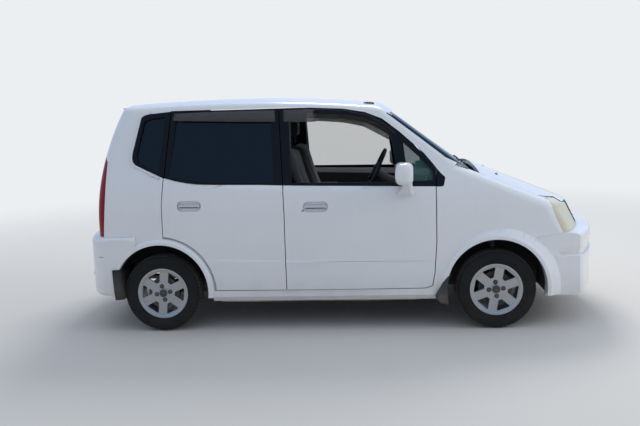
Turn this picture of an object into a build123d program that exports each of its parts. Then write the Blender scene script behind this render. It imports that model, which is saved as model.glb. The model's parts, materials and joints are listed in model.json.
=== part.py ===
# Compact five-door minivan, right-hand drive, in millimetres
# +X is forward, -Y the right-hand side, +Z up; the origin is on the ground, midway along the car
import os
from math import cos, radians, sin, sqrt

from build123d import *

os.makedirs("parts", exist_ok=True)

# Driving sizes of the whole car
LENGTH = 3775
BODY_WIDTH = 1640
HEIGHT = 1650
WHEELBASE = 2360
FRONT_OVERHANG = 785
TRACK = 1414
TYRE_RADIUS = 278
TYRE_WIDTH = 165

# Stations along the car and heights that the panels share
FRONT_X = LENGTH / 2
REAR_X = -LENGTH / 2
FRONT_AXLE_X = FRONT_X - FRONT_OVERHANG
REAR_AXLE_X = FRONT_AXLE_X - WHEELBASE
HALF_WIDTH = BODY_WIDTH / 2
HALF_TRACK = TRACK / 2
DOOR_FRONT_X = FRONT_AXLE_X - 412
B_SHUT_X = DOOR_FRONT_X - 1044
REAR_DOOR_END_X = B_SHUT_X - 871
HEAD_X = FRONT_AXLE_X - 710
FOOT_X = FRONT_AXLE_X - 92
TAIL_X = REAR_X + 65
SILL_BOTTOM_Z = 218
DOOR_BOTTOM_Z = 303
BELT_Z = 1010
DOOR_TOP_Z = 1566
ROOF_CORNER_Z = 1546
COWL_Z = 1086

# Walls and clearances
LOWER_WALL = 60
UPPER_WALL = 36
PANEL = 30
GLASS = 5
GLASS_DEPTH = 14
SHUT_GAP = 6
FRONT_SHUT_GAP = 9
SEAT = 0.3
REACH = 900

# Curvature of the big panels
CROWN_R = 5950
BOW_R = 24000
BOW_X = -200
BELT_TILT = 1.6
TAIL_R = 2400
NOSE_R = 1500
CORNER_R = 110
ROOF_EDGE_R = 60
CROWN_Z = HEIGHT - CROWN_R
BROW_R = 230
SWING = 12
BOW_SWING = 5.5
LOW_CUT_Z = 230


def xz_prism(points, near, far):
    """A block with an outline seen from the side, from near to far to the right of the middle."""
    with BuildPart() as block:
        with BuildSketch(Plane.XZ.offset(near)):
            with BuildLine():
                Polyline(*points, close=True)
            make_face()
        extrude(amount=far - near)
    return block.part


def xy_prism(points, low, high):
    """A block with an outline seen from above, between two heights."""
    with BuildPart() as block:
        with BuildSketch(Plane.XY.offset(low)):
            with BuildLine():
                Polyline(*points, close=True)
            make_face()
        extrude(amount=high - low)
    return block.part


def grown_prism(points, growth, near, far):
    """The same outline seen from the side, moved out by a clearance, or in where it is negative."""
    with BuildPart() as block:
        with BuildSketch(Plane.XZ.offset(near)):
            with BuildLine():
                Polyline(*points, close=True)
            make_face()
            offset(amount=growth, kind=Kind.INTERSECTION)
        extrude(amount=far - near)
    return block.part


def box(x0, x1, y0, y1, z0, z1):
    """A plain block between two corners."""
    with BuildPart() as block:
        with BuildSketch(Plane.XY.offset(z0)):
            with Locations(((x0 + x1) / 2, (y0 + y1) / 2)):
                Rectangle(x1 - x0, y1 - y0)
        extrude(amount=z1 - z0)
    return block.part


def drum(x, z, radius, near, far):
    """A round block lying across the car, from near to far to the right of the middle."""
    with BuildPart() as block:
        with BuildSketch(Plane.XZ.offset(near)):
            with Locations((x, z)):
                Circle(radius)
        extrude(amount=far - near)
    return block.part


def other_side(part):
    """The same piece on the left-hand side."""
    with BuildPart() as twin:
        mirror(part, about=Plane.XZ)
    return twin.part


def save(part, name):
    """Label a finished piece and write it."""
    part.label = name
    export_step(part, f"parts/{name}.step")


def crown_plane():
    """The side profile's plane, turned to one end of the crown's swing about its far axis."""
    turn = radians(SWING)
    return Plane(origin=(0, 0, CROWN_Z), x_dir=(1, 0, 0), z_dir=(0, -cos(turn), sin(turn)))


def roof_solid(inset):
    """Windscreen, roof and all below them, from one side profile swung about a far low axis."""
    lift = -CROWN_Z - inset
    back = inset / 3
    foot = (FOOT_X - back, COWL_Z + lift)
    brow = (HEAD_X - 62 - back, ROOF_CORNER_Z + 46 + lift)
    peak = (TAIL_X + 1072 - back, HEIGHT + lift)
    rear_rail = (TAIL_X + 402 - back, HEIGHT - 14 + lift)
    with BuildPart() as solid:
        with BuildSketch(crown_plane()) as profile:
            with BuildLine():
                Line(foot, brow)
                TangentArc(peak, brow, tangent=(1, 0))
                rear_arc = TangentArc(peak, rear_rail, tangent=(-1, 0))
                tip = TangentArc(rear_rail, (TAIL_X + 122, HEIGHT - 45 + lift), tangent=rear_arc % 1)
                Polyline(tip @ 1, (REAR_X - 200, HEIGHT - 120 + lift), (REAR_X - 200, lift), (foot[0], lift), foot)
            make_face()
            fillet(profile.vertices().sort_by_distance((*brow, 0))[0], radius=BROW_R)
        revolve(axis=Axis((0, 0, CROWN_Z), (1, 0, 0)), revolution_arc=2 * SWING)
    return solid.part


def side_solid(inset):
    """All inside the bowed and leaning right side, swung about a far upright axis."""
    lean = radians(BELT_TILT)
    upright = Vector(sin(lean), 0, cos(lean))
    axis_y = BOW_R - HALF_WIDTH
    skin = axis_y - inset
    start = Vector(0, -1, 0).rotate(Axis((0, 0, 0), tuple(upright)), -BOW_SWING)
    plane = Plane(origin=(BOW_X, axis_y, 0), x_dir=start, z_dir=start.cross(upright))
    with BuildPart() as solid:
        with BuildSketch(plane):
            with BuildLine():
                low = ThreePointArc((skin + 808, 260), (skin + HALF_WIDTH, 560), (skin + 806, 960))
                waist = TangentArc(low @ 1, (skin + 787, 1080), tangent=low % 1)
                glass = TangentArc(waist @ 1, (skin + 655, 1620), tangent=waist % 1)
                Polyline(glass @ 1, (skin + 600, 1800), (axis_y - 900, 1800), (axis_y - 900, 100),
                         (skin + 760, 100), low @ 0)
            make_face()
        revolve(axis=Axis((BOW_X, axis_y, 0), tuple(upright)), revolution_arc=2 * BOW_SWING)
    return solid.part


def tail_solid(inset):
    """All ahead of the tail, which is round in plan about a far upright axis."""
    axis_x = TAIL_X + TAIL_R
    face = TAIL_R - inset
    half = 28
    start = Vector(-1, 0, 0).rotate(Axis.Z, -half)
    plane = Plane(origin=(axis_x, 0, 0), x_dir=start, z_dir=Vector(0, 1, 0).rotate(Axis.Z, -half))
    with BuildPart() as solid:
        with BuildSketch(plane):
            with BuildLine():
                low = Line((face - 7, 60), (face, 760))
                waist = TangentArc(low @ 1, (face - 32, 1080), tangent=low % 1)
                glass = TangentArc(waist @ 1, (face - 232, 1605), tangent=waist % 1)
                Polyline(glass @ 1, (face - 322, 1800), (100, 1800), (100, 60), low @ 0)
            make_face()
        revolve(axis=Axis((axis_x, 0, 0), (0, 0, 1)), revolution_arc=2 * half)
        add(box(axis_x - 1900, axis_x + 1600, -1300, 1300, 60, 1800))
    return solid.part


def cabin_solid(inset, rear_inset):
    """The cabin's outer form, or the same drawn in by a wall."""
    side = side_solid(inset)
    with BuildPart() as solid:
        add(roof_solid(inset))
        add(side, mode=Mode.INTERSECT)
        add(other_side(side), mode=Mode.INTERSECT)
        add(tail_solid(rear_inset), mode=Mode.INTERSECT)
        add(box(REAR_X - 100, FOOT_X - inset, -REACH, REACH, LOW_CUT_Z, HEIGHT + 20), mode=Mode.INTERSECT)
        if not inset:
            upright = [
                edge for edge in solid.edges()
                if edge.center().X < REAR_AXLE_X - 200 and abs(edge.center().Y) > HALF_TRACK - 100
                and edge.bounding_box().size.Z > 17 and edge.center().Z < DOOR_TOP_Z
            ]
            fillet(upright, radius=CORNER_R)
            rails = [
                edge for edge in solid.edges()
                if (edge.center().X > REAR_AXLE_X - 300 and abs(edge.center().Y) > 560
                    and edge.bounding_box().max.Z > BELT_Z + 105 and edge.bounding_box().min.Z > BELT_Z + 33
                    and edge.bounding_box().size.X > 100)
                or (edge.center().X < REAR_AXLE_X - 100 and edge.bounding_box().min.Z > DOOR_TOP_Z - 10)
            ]
            fillet(rails, radius=ROOF_EDGE_R)
    return solid.part


cabin_outer = cabin_solid(0, 0)
cabin_skin_inner = cabin_solid(UPPER_WALL, UPPER_WALL)
cabin_door_inner = cabin_solid(LOWER_WALL, LOWER_WALL)

# The room inside, reached through a thin skin round the windows and a whole door's depth below
with BuildPart() as cabin_room:
    add(cabin_skin_inner)
    add(box(REAR_X, FRONT_X, -REACH, REACH, BELT_Z, HEIGHT), mode=Mode.INTERSECT)
with BuildPart() as lower_room:
    add(cabin_door_inner)
    add(box(REAR_X, FRONT_X, -REACH, REACH, 0, BELT_Z), mode=Mode.INTERSECT)
with BuildPart() as cabin_wall:
    add(cabin_outer)
    add(cabin_room.part, mode=Mode.SUBTRACT)
    add(lower_room.part, mode=Mode.SUBTRACT)
    add(box(REAR_X, FRONT_X, -REACH, REACH, 0, DOOR_BOTTOM_Z - SHUT_GAP), mode=Mode.SUBTRACT)

# The band that the glass is cut from, at its depth below the skin
with BuildPart() as glass_band:
    add(cabin_solid(GLASS_DEPTH, GLASS_DEPTH))
    add(cabin_solid(GLASS_DEPTH + GLASS, GLASS_DEPTH + GLASS), mode=Mode.SUBTRACT)
    add(box(REAR_X, FRONT_X, -REACH, REACH, 0, BELT_Z - PANEL), mode=Mode.SUBTRACT)

# The nose: bonnet line, sides and a raked front face that is round in plan
NOSE_X = FRONT_X - 104.5
NOSE_TOP_Z = 820
BONNET_REAR_X = FOOT_X - 5
BONNET_REAR_Z = 1120
NOSE_EDGE_R = 62
BUMPER_TOP_Z = 665


def bonnet_line(x):
    """Height of the bonnet on the middle line."""
    slope = (BONNET_REAR_Z - NOSE_TOP_Z) / (BONNET_REAR_X - NOSE_X + 50)
    return BONNET_REAR_Z + slope * (x - BONNET_REAR_X)


def nose_solid(inset):
    """The nose's outer form, or the same drawn in by a panel's thickness."""
    side = side_solid(inset)
    axis_x = NOSE_X - NOSE_R
    face = NOSE_R - inset
    lift = -CROWN_Z - inset
    back = DOOR_FRONT_X - 30
    with BuildPart() as crown:
        with BuildSketch(crown_plane()):
            with BuildLine():
                Polyline((back, bonnet_line(back) + lift), (FRONT_X, bonnet_line(FRONT_X) + lift),
                         (FRONT_X, lift), (back, lift), close=True)
            make_face()
        revolve(axis=Axis((0, 0, CROWN_Z), (1, 0, 0)), revolution_arc=2 * SWING)
    with BuildPart() as front:
        start = Vector(1, 0, 0).rotate(Axis.Z, -42)
        with BuildSketch(Plane(origin=(axis_x, 0, 0), x_dir=start, z_dir=start.cross(Vector(0, 0, 1)))):
            with BuildLine():
                Polyline((face, 200), (face, BUMPER_TOP_Z + 14), (face - 112, 910),
                         (face - 112, 1400), (300, 1400), (300, 200), close=True)
            make_face()
        revolve(axis=Axis((axis_x, 0, 0), (0, 0, 1)), revolution_arc=84)
        add(box(back - 100, axis_x + 900, -1100, 1100, 200, 1400))
    with BuildPart() as solid:
        add(crown.part)
        add(side, mode=Mode.INTERSECT)
        add(other_side(side), mode=Mode.INTERSECT)
        add(front.part, mode=Mode.INTERSECT)
        if not inset:
            corners = [
                edge for edge in solid.edges()
                if edge.center().X > FRONT_AXLE_X + 200 and abs(edge.center().Y) > 500
                and edge.center().Z < 840 and edge.bounding_box().size.Z > 25
            ]
            fillet(corners, radius=CORNER_R)
            rims = [
                edge for edge in solid.edges()
                if edge.bounding_box().min.Z > 780 and edge.center().X > DOOR_FRONT_X + 50
                and (abs(edge.center().Y) > 600 or edge.center().X > FRONT_AXLE_X + 400)
            ]
            fillet(rims, radius=NOSE_EDGE_R)
    return solid.part


nose_outer = nose_solid(0)
with BuildPart() as nose_wall:
    add(nose_outer)
    add(nose_solid(PANEL), mode=Mode.SUBTRACT)
    add(box(0, DOOR_FRONT_X + FRONT_SHUT_GAP, -REACH, REACH, 0, HEIGHT), mode=Mode.SUBTRACT)

# Wheel arches, cut through every panel beside a wheel
ARCH_Z = TYRE_RADIUS + 17
ARCH_R = 342
LIP_R = 392
LIP_Y = HALF_WIDTH - 2
LIP_SKIN_Y = 775
front_arch = drum(FRONT_AXLE_X, ARCH_Z, ARCH_R, HALF_TRACK - 300, REACH)
rear_arch = drum(REAR_AXLE_X, ARCH_Z, ARCH_R, HALF_TRACK - 300, REACH)


def arch_lip(axle_x, fade_r, low_z):
    """The raised ring round an arch: flat near the opening and sloping back into the panel."""
    with BuildPart() as lip:
        with BuildSketch(Plane(origin=(axle_x, 0, ARCH_Z), x_dir=(0, -1, 0), z_dir=(-1, 0, 0))):
            with BuildLine():
                edge = Polyline((LIP_SKIN_Y - 25, fade_r), (LIP_SKIN_Y - 25, ARCH_R), (LIP_Y, ARCH_R), (LIP_Y, ARCH_R + 16))
                flare = TangentArc(edge @ 1, (LIP_Y - 9, ARCH_R + 34), tangent=(0, 1))
                Polyline(flare @ 1, (LIP_SKIN_Y - 8, fade_r), edge @ 0)
            make_face()
        revolve(axis=Axis((axle_x, 0, ARCH_Z), (0, 1, 0)))
        add(box(axle_x - 600, axle_x + 600, -REACH, REACH, -200, low_z), mode=Mode.SUBTRACT)
        add(box(axle_x - 600, axle_x + 600, 0, REACH, -300, 1000), mode=Mode.SUBTRACT)
    return lip.part


# Door outlines seen from the side, with the window frames
A_LINE = [(HEAD_X + 218, 1233), (HEAD_X + 56, 1380), (HEAD_X - 61, 1472), (HEAD_X - 180, 1520),
          (HEAD_X - 329, 1547), (HEAD_X - 599, 1563)]
front_door_outline = [
    (DOOR_FRONT_X - 75, DOOR_BOTTOM_Z), (DOOR_FRONT_X - 31, DOOR_BOTTOM_Z + 15), (DOOR_FRONT_X - 15, 400),
    (DOOR_FRONT_X, 629), (DOOR_FRONT_X, 899), (DOOR_FRONT_X, BELT_Z), (DOOR_FRONT_X + 4, 1130), *A_LINE,
    (B_SHUT_X - 29, DOOR_TOP_Z), (B_SHUT_X - 5, 1040), (B_SHUT_X, 840), (B_SHUT_X, DOOR_BOTTOM_Z),
]
rear_door_outline = [
    (B_SHUT_X - SHUT_GAP, DOOR_BOTTOM_Z), (B_SHUT_X - SHUT_GAP, 840), (B_SHUT_X - 5 - SHUT_GAP, 1040),
    (B_SHUT_X - 29 - SHUT_GAP, DOOR_TOP_Z), (REAR_DOOR_END_X + 74, DOOR_TOP_Z), (REAR_DOOR_END_X + 19, 1097),
    (REAR_DOOR_END_X, 916), (REAR_DOOR_END_X, DOOR_BOTTOM_Z),
]
front_window_outline = [
    (B_SHUT_X + 55, 1052), (B_SHUT_X + 37, 1532), (HEAD_X - 599, 1530), (HEAD_X - 329, 1512),
    (HEAD_X - 187, 1487), (HEAD_X - 77, 1443), (HEAD_X - 7, 1388), (HEAD_X + 48, 1042),
]
front_vent_outline = [
    (HEAD_X + 113, 1045), (HEAD_X + 83, 1308), (HEAD_X + 208, 1192), (HEAD_X + 280, 1106), (HEAD_X + 286, 1048),
]
rear_window_outline = [
    (B_SHUT_X - 70, 1056), (B_SHUT_X - 90, 1530), (REAR_DOOR_END_X + 111, 1530), (REAR_DOOR_END_X + 56, 1112),
    (B_SHUT_X - 545, 1066),
]
quarter_window_outline = [
    (REAR_DOOR_END_X - 24, 1134), (REAR_DOOR_END_X + 28, 1530), (REAR_DOOR_END_X - 76, 1520),
    (REAR_DOOR_END_X - 124, 1503), (REAR_DOOR_END_X - 179, 1265), (REAR_DOOR_END_X - 166, 1215),
]
WINDOW_NEAR = 520
door_arc = drum(REAR_AXLE_X, ARCH_Z, LIP_R + SHUT_GAP, WINDOW_NEAR, REACH)

# Hinge and pocket sizes shared by the four side doors
HINGE_R = 7
FRONT_HINGE_Y = 784
REAR_HINGE_Y = 797
SKIN = 3
FRONT_HINGE_X = DOOR_FRONT_X - 55
REAR_HINGE_X = B_SHUT_X - SHUT_GAP - 48
HINGE_HEIGHTS = (470, 890)
LUG_HALF = 14
POCKET_HALF = 20
KNUCKLE = 26


# The crease along the doors: a ledge that faces up, faded out above
CREASE_H = 508
CREASE_DEPTH = 4
CREASE_FADE = 90
crease_lean = radians(BELT_TILT)
crease_up = Vector(sin(crease_lean), 0, cos(crease_lean))
crease_start = Vector(0, -1, 0).rotate(Axis((0, 0, 0), tuple(crease_up)), -BOW_SWING)
with BuildPart() as crease:
    with BuildSketch(Plane(origin=(BOW_X, BOW_R - HALF_WIDTH, 0), x_dir=crease_start, z_dir=crease_start.cross(crease_up))):
        with BuildLine():
            Polyline((BOW_R - CREASE_DEPTH, CREASE_H), (BOW_R + 0.3, CREASE_H + CREASE_FADE),
                     (BOW_R + 20, CREASE_H + CREASE_FADE), (BOW_R + 20, CREASE_H), close=True)
        make_face()
    revolve(axis=Axis((BOW_X, BOW_R - HALF_WIDTH, 0), tuple(crease_up)), revolution_arc=2 * BOW_SWING)

# Door handles: a rounded recess with a flap across it
HANDLE_LENGTH = 172
HANDLE_HEIGHT = 74
HANDLE_DEPTH = 20
FLAP_HEIGHT = 26


def door(outline, windows, hinge_x, hinge_y, edge_x, handle_x, handle_z):
    """One right-hand door: a slab of the wall with its windows, handle, hinge pockets and hinge knuckles."""
    inner_skin = side_solid(SKIN)
    handle_skin = side_solid(HANDLE_DEPTH)
    with BuildPart() as recess:
        with BuildSketch(Plane.XZ.offset(WINDOW_NEAR)):
            with Locations((handle_x, handle_z)):
                RectangleRounded(HANDLE_LENGTH, HANDLE_HEIGHT, HANDLE_HEIGHT / 2 - 3)
        extrude(amount=REACH - WINDOW_NEAR)
        add(handle_skin, mode=Mode.SUBTRACT)
    with BuildPart() as flap:
        with BuildSketch(Plane.XZ.offset(WINDOW_NEAR)):
            with Locations((handle_x, handle_z)):
                RectangleRounded(HANDLE_LENGTH - 16, FLAP_HEIGHT, FLAP_HEIGHT / 2 - 2)
        extrude(amount=REACH - WINDOW_NEAR)
        add(side_solid(SKIN), mode=Mode.INTERSECT)
        add(side_solid(HANDLE_DEPTH + 4), mode=Mode.SUBTRACT)
    with BuildPart() as leaf:
        add(cabin_wall.part)
        add(xz_prism(outline, WINDOW_NEAR, REACH), mode=Mode.INTERSECT)
        add(door_arc, mode=Mode.SUBTRACT)
        for window in windows:
            add(xz_prism(window, WINDOW_NEAR, REACH), mode=Mode.SUBTRACT)
        for height in HINGE_HEIGHTS:
            low = height - POCKET_HALF
            with BuildPart(mode=Mode.PRIVATE) as pocket:
                add(box(hinge_x - 14, edge_x + 20, -hinge_y - 13, -600, low, height + POCKET_HALF))
                add(inner_skin, mode=Mode.INTERSECT)
            add(pocket.part, mode=Mode.SUBTRACT)
            for foot in (height - LUG_HALF - SEAT - KNUCKLE, height + LUG_HALF + SEAT):
                with BuildSketch(Plane.XY.offset(foot)):
                    with Locations((hinge_x, -hinge_y)):
                        Circle(HINGE_R)
                extrude(amount=KNUCKLE)
        add(crease.part, mode=Mode.SUBTRACT)
        add(recess.part, mode=Mode.SUBTRACT)
        add(flap.part)
    return leaf.part


front_door = door(front_door_outline, (front_window_outline, front_vent_outline), FRONT_HINGE_X, FRONT_HINGE_Y,
                  DOOR_FRONT_X, B_SHUT_X + 217, 887)
rear_door = door(rear_door_outline, (rear_window_outline,), REAR_HINGE_X, REAR_HINGE_Y,
                 B_SHUT_X, REAR_DOOR_END_X + 196, 907)


def pane(outline):
    """A pane that fills a side window with a seat's clearance all round."""
    with BuildPart() as glass:
        add(glass_band.part)
        add(grown_prism(outline, -SEAT, WINDOW_NEAR, REACH), mode=Mode.INTERSECT)
    return glass.part


# Roof, windscreen and the side frames round the doors
GUTTER_Y = 575
HATCH_HINGE_X = TAIL_X + 325
HATCH_HINGE_Z = 1600
ROOF_END_R = 39
HATCH_END_R = ROOF_END_R + SHUT_GAP
HATCH_ARM_Y = 450
HATCH_ARM_WIDTH = 34
SCREEN_HEAD_X = HEAD_X + 6
screen_outline = [
    (SCREEN_HEAD_X, -548), (HEAD_X + 516, -640), (FOOT_X - 42, -560), (FOOT_X - 18, -300), (FOOT_X - 12, 0),
    (FOOT_X - 18, 300), (FOOT_X - 42, 560), (HEAD_X + 516, 640), (SCREEN_HEAD_X, 548), (SCREEN_HEAD_X + 22, 0),
]
with BuildPart() as screen_block:
    with BuildSketch(Plane.XY.offset(COWL_Z - 90)):
        with BuildLine():
            Polyline(*screen_outline, close=True)
        make_face()
    extrude(amount=HEIGHT - COWL_Z + 90)
with BuildPart() as windscreen:
    add(glass_band.part)
    with BuildSketch(Plane.XY.offset(COWL_Z - 90), mode=Mode.PRIVATE) as screen_sketch:
        with BuildLine():
            Polyline(*screen_outline, close=True)
        make_face()
        offset(amount=-SEAT, kind=Kind.INTERSECTION)
    extrude(screen_sketch.sketch, amount=HEIGHT - COWL_Z + 90, mode=Mode.INTERSECT)
save(windscreen.part, "windscreen")

hatch_edge = drum(HATCH_HINGE_X, HATCH_HINGE_Z, HATCH_END_R, -REACH, REACH)
roof_edge = drum(HATCH_HINGE_X, HATCH_HINGE_Z, ROOF_END_R, -REACH, REACH)
ROOF_FRONT_X = HEAD_X + 40

with BuildPart() as roof_panel:
    add(cabin_wall.part)
    add(box(HATCH_HINGE_X, ROOF_FRONT_X, -GUTTER_Y, GUTTER_Y, DOOR_TOP_Z - 120, HEIGHT + 20), mode=Mode.INTERSECT)
    add(screen_block.part, mode=Mode.SUBTRACT)
with BuildPart() as roof_rear:
    add(cabin_wall.part)
    add(box(HATCH_HINGE_X - 60, HATCH_HINGE_X, -GUTTER_Y, GUTTER_Y, DOOR_TOP_Z - 20, HEIGHT + 20), mode=Mode.INTERSECT)
    add(roof_edge, mode=Mode.INTERSECT)
with BuildPart() as roof:
    add(roof_panel.part)
    add(roof_rear.part)
    for arm_y in (-HATCH_ARM_Y, HATCH_ARM_Y):
        half = HATCH_ARM_WIDTH / 2 + SEAT
        add(box(HATCH_HINGE_X - 60, HATCH_HINGE_X + 13, arm_y - half, arm_y + half, 1500, HEIGHT), mode=Mode.SUBTRACT)
save(roof.part, "roof_panel")

# Doors, their glass and their mirrors
for part, name in ((front_door, "front_door"), (rear_door, "rear_door")):
    save(part, name + "_right")
    save(other_side(part), name + "_left")
front_vent = pane(front_vent_outline)
front_pane = pane(front_window_outline)
rear_pane = pane(rear_window_outline)
quarter_pane = pane(quarter_window_outline)
save(rear_pane, "rear_door_glass_right")
save(other_side(rear_pane), "rear_door_glass_left")
save(front_vent, "front_vent_glass_right")
with BuildPart() as left_glass:
    add(other_side(front_pane))
    add(other_side(front_vent))
save(left_glass.part, "front_door_glass_left")
with BuildPart() as quarter_glass:
    add(quarter_pane)
    add(other_side(quarter_pane))
save(quarter_glass.part, "quarter_glass")

# Tailgate outline seen from behind, and the lamps beside it
HATCH_HALF_TOP = 560
HATCH_HALF_BELT = 640
HATCH_BOTTOM_Z = 700
LAMP_TOP_Z = 1262
LAMP_BOTTOM_Z = 694
LAMP_FRONT_X = TAIL_X + 196
hatch_outline = [
    (-HATCH_HALF_BELT, HATCH_BOTTOM_Z), (-HATCH_HALF_BELT, LAMP_TOP_Z), (-HATCH_HALF_TOP, DOOR_TOP_Z + 20),
    (-HATCH_HALF_TOP, HEIGHT), (HATCH_HALF_TOP, HEIGHT), (HATCH_HALF_TOP, DOOR_TOP_Z + 20),
    (HATCH_HALF_BELT, LAMP_TOP_Z), (HATCH_HALF_BELT, HATCH_BOTTOM_Z),
]
hatch_window_outline = [
    (-545, 1075), (-555, 1250), (-497, 1510), (497, 1510), (555, 1250), (545, 1075),
]


def rear_view_block(points, growth):
    """A block behind the car with an outline seen from behind."""
    with BuildPart() as block:
        with BuildSketch(Plane.YZ.offset(REAR_X - 100)):
            with BuildLine():
                Polyline(*points, close=True)
            make_face()
            if growth:
                offset(amount=growth, kind=Kind.INTERSECTION)
        extrude(amount=520)
    return block.part


# Plate seat on the tailgate: a flat recess with two screw holes
PLATE_Z = 860
PLATE_HALF = 185
PLATE_DEPTH = 18
PLATE_BOLT_Y = 105
PLATE_BOLT_R = 3
hatch_zone = rear_view_block(hatch_outline, SHUT_GAP)
with BuildPart() as tailgate:
    add(cabin_wall.part)
    add(rear_view_block(hatch_outline, 0), mode=Mode.INTERSECT)
    add(hatch_edge, mode=Mode.SUBTRACT)
    add(box(HATCH_HINGE_X, FRONT_X, -REACH, REACH, 0, HEIGHT + 20), mode=Mode.SUBTRACT)
    add(rear_view_block(hatch_window_outline, 0), mode=Mode.SUBTRACT)
    for arm_y in (-HATCH_ARM_Y, HATCH_ARM_Y):
        half = HATCH_ARM_WIDTH / 2
        with BuildSketch(Plane.XZ.offset(-arm_y - half)):
            with Locations((HATCH_HINGE_X, HATCH_HINGE_Z)):
                Circle(HINGE_R)
            with Locations((HATCH_HINGE_X - 32, HATCH_HINGE_Z - 2)):
                Rectangle(64, 10)
        extrude(amount=HATCH_ARM_WIDTH)
    add(box(REAR_X, TAIL_X + PLATE_DEPTH, -PLATE_HALF, PLATE_HALF, PLATE_Z - 75, PLATE_Z + 75), mode=Mode.SUBTRACT)
    with BuildSketch(Plane.YZ.offset(TAIL_X + PLATE_DEPTH)):
        with Locations((-PLATE_BOLT_Y, PLATE_Z + 40), (PLATE_BOLT_Y, PLATE_Z + 40)):
            Circle(PLATE_BOLT_R)
    extrude(amount=25, mode=Mode.SUBTRACT)
save(tailgate.part, "tailgate")
with BuildPart() as tailgate_glass:
    add(glass_band.part)
    add(rear_view_block(hatch_window_outline, -SEAT), mode=Mode.INTERSECT)
save(tailgate_glass.part, "tailgate_glass")

lamp_outline = [
    (LAMP_FRONT_X - 40, LAMP_BOTTOM_Z), (LAMP_FRONT_X - 8, 1034), (LAMP_FRONT_X + 4, 1223),
    (LAMP_FRONT_X - 20, LAMP_TOP_Z), (REAR_X, LAMP_TOP_Z), (REAR_X, LAMP_BOTTOM_Z),
]
with BuildPart() as tail_lamp:
    add(cabin_wall.part)
    add(xz_prism(lamp_outline, HATCH_HALF_BELT + SHUT_GAP, REACH), mode=Mode.INTERSECT)
with BuildPart() as tail_lamps:
    add(tail_lamp.part)
    add(other_side(tail_lamp.part))
save(tail_lamps.part, "tail_lamps")

# Fender outline: from the door back to the lamp, and up to the windscreen pillar
HEADLAMP_REAR_X = FRONT_X - 421
FENDER_BOTTOM_Z = 250
SEAM_Y = 655
FLARE_R = 440
BUMPER_LIP_Z = 240
SEAM_ARCH = (FRONT_AXLE_X + 218, ARCH_Z + 264)
fender_outline = [
    (DOOR_FRONT_X + FRONT_SHUT_GAP, FENDER_BOTTOM_Z), (DOOR_FRONT_X + FRONT_SHUT_GAP, BELT_Z - 4),
    (DOOR_FRONT_X + 55, BELT_Z - 4), (DOOR_FRONT_X + 67, 1064), (DOOR_FRONT_X + 62, 1088),
    (DOOR_FRONT_X + 107, 1122), (DOOR_FRONT_X + 151, 1160), (DOOR_FRONT_X + 190, 1200), (FRONT_X, 1200),
    (FRONT_X, BUMPER_TOP_Z), (HEADLAMP_REAR_X + 92, BUMPER_TOP_Z), (HEADLAMP_REAR_X - 83, BUMPER_TOP_Z - 26),
    SEAM_ARCH, (FRONT_AXLE_X, ARCH_Z), (FRONT_AXLE_X, FENDER_BOTTOM_Z),
]
headlamp_outline = [
    (HEADLAMP_REAR_X + 92, BUMPER_TOP_Z), (HEADLAMP_REAR_X + 81, 686), (HEADLAMP_REAR_X + 39, 779),
    (HEADLAMP_REAR_X, 893), (HEADLAMP_REAR_X + 95, 868), (HEADLAMP_REAR_X + 133, 842), (FRONT_X, 790),
    (FRONT_X, BUMPER_TOP_Z),
]
HEADLAMP_INNER_Y = 430
HEADLAMP_DEPTH = 75
bonnet_zone = box(DOOR_FRONT_X - 50, FRONT_X, -SEAM_Y - SHUT_GAP, SEAM_Y + SHUT_GAP, 600, 1300)
with BuildPart() as nose_core:
    add(nose_solid(HEADLAMP_DEPTH))
with BuildPart() as headlamp:
    add(nose_outer)
    add(nose_core.part, mode=Mode.SUBTRACT)
    add(xz_prism(headlamp_outline, HEADLAMP_INNER_Y, REACH), mode=Mode.INTERSECT)
front_lip = arch_lip(FRONT_AXLE_X, FLARE_R, BUMPER_LIP_Z)
with BuildPart() as front_lip_fender:
    add(front_lip)
    add(xz_prism(fender_outline, 500, REACH), mode=Mode.INTERSECT)
with BuildPart() as fender:
    add(nose_wall.part)
    add(xz_prism(fender_outline, 500, REACH), mode=Mode.INTERSECT)
    add(bonnet_zone, mode=Mode.SUBTRACT)
    add(front_lip_fender.part)
    add(front_arch, mode=Mode.SUBTRACT)
    add(grown_prism(headlamp_outline, SEAT, 300, REACH), mode=Mode.SUBTRACT)
    add(box(HEADLAMP_REAR_X + 25, FRONT_X, -SEAM_Y - 22, 0, 600, 1300), mode=Mode.SUBTRACT)
save(fender.part, "fender_right")
save(other_side(fender.part), "fender_left")
with BuildPart() as headlamps:
    add(headlamp.part)
    add(other_side(headlamp.part))
save(headlamps.part, "headlamps")

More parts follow.
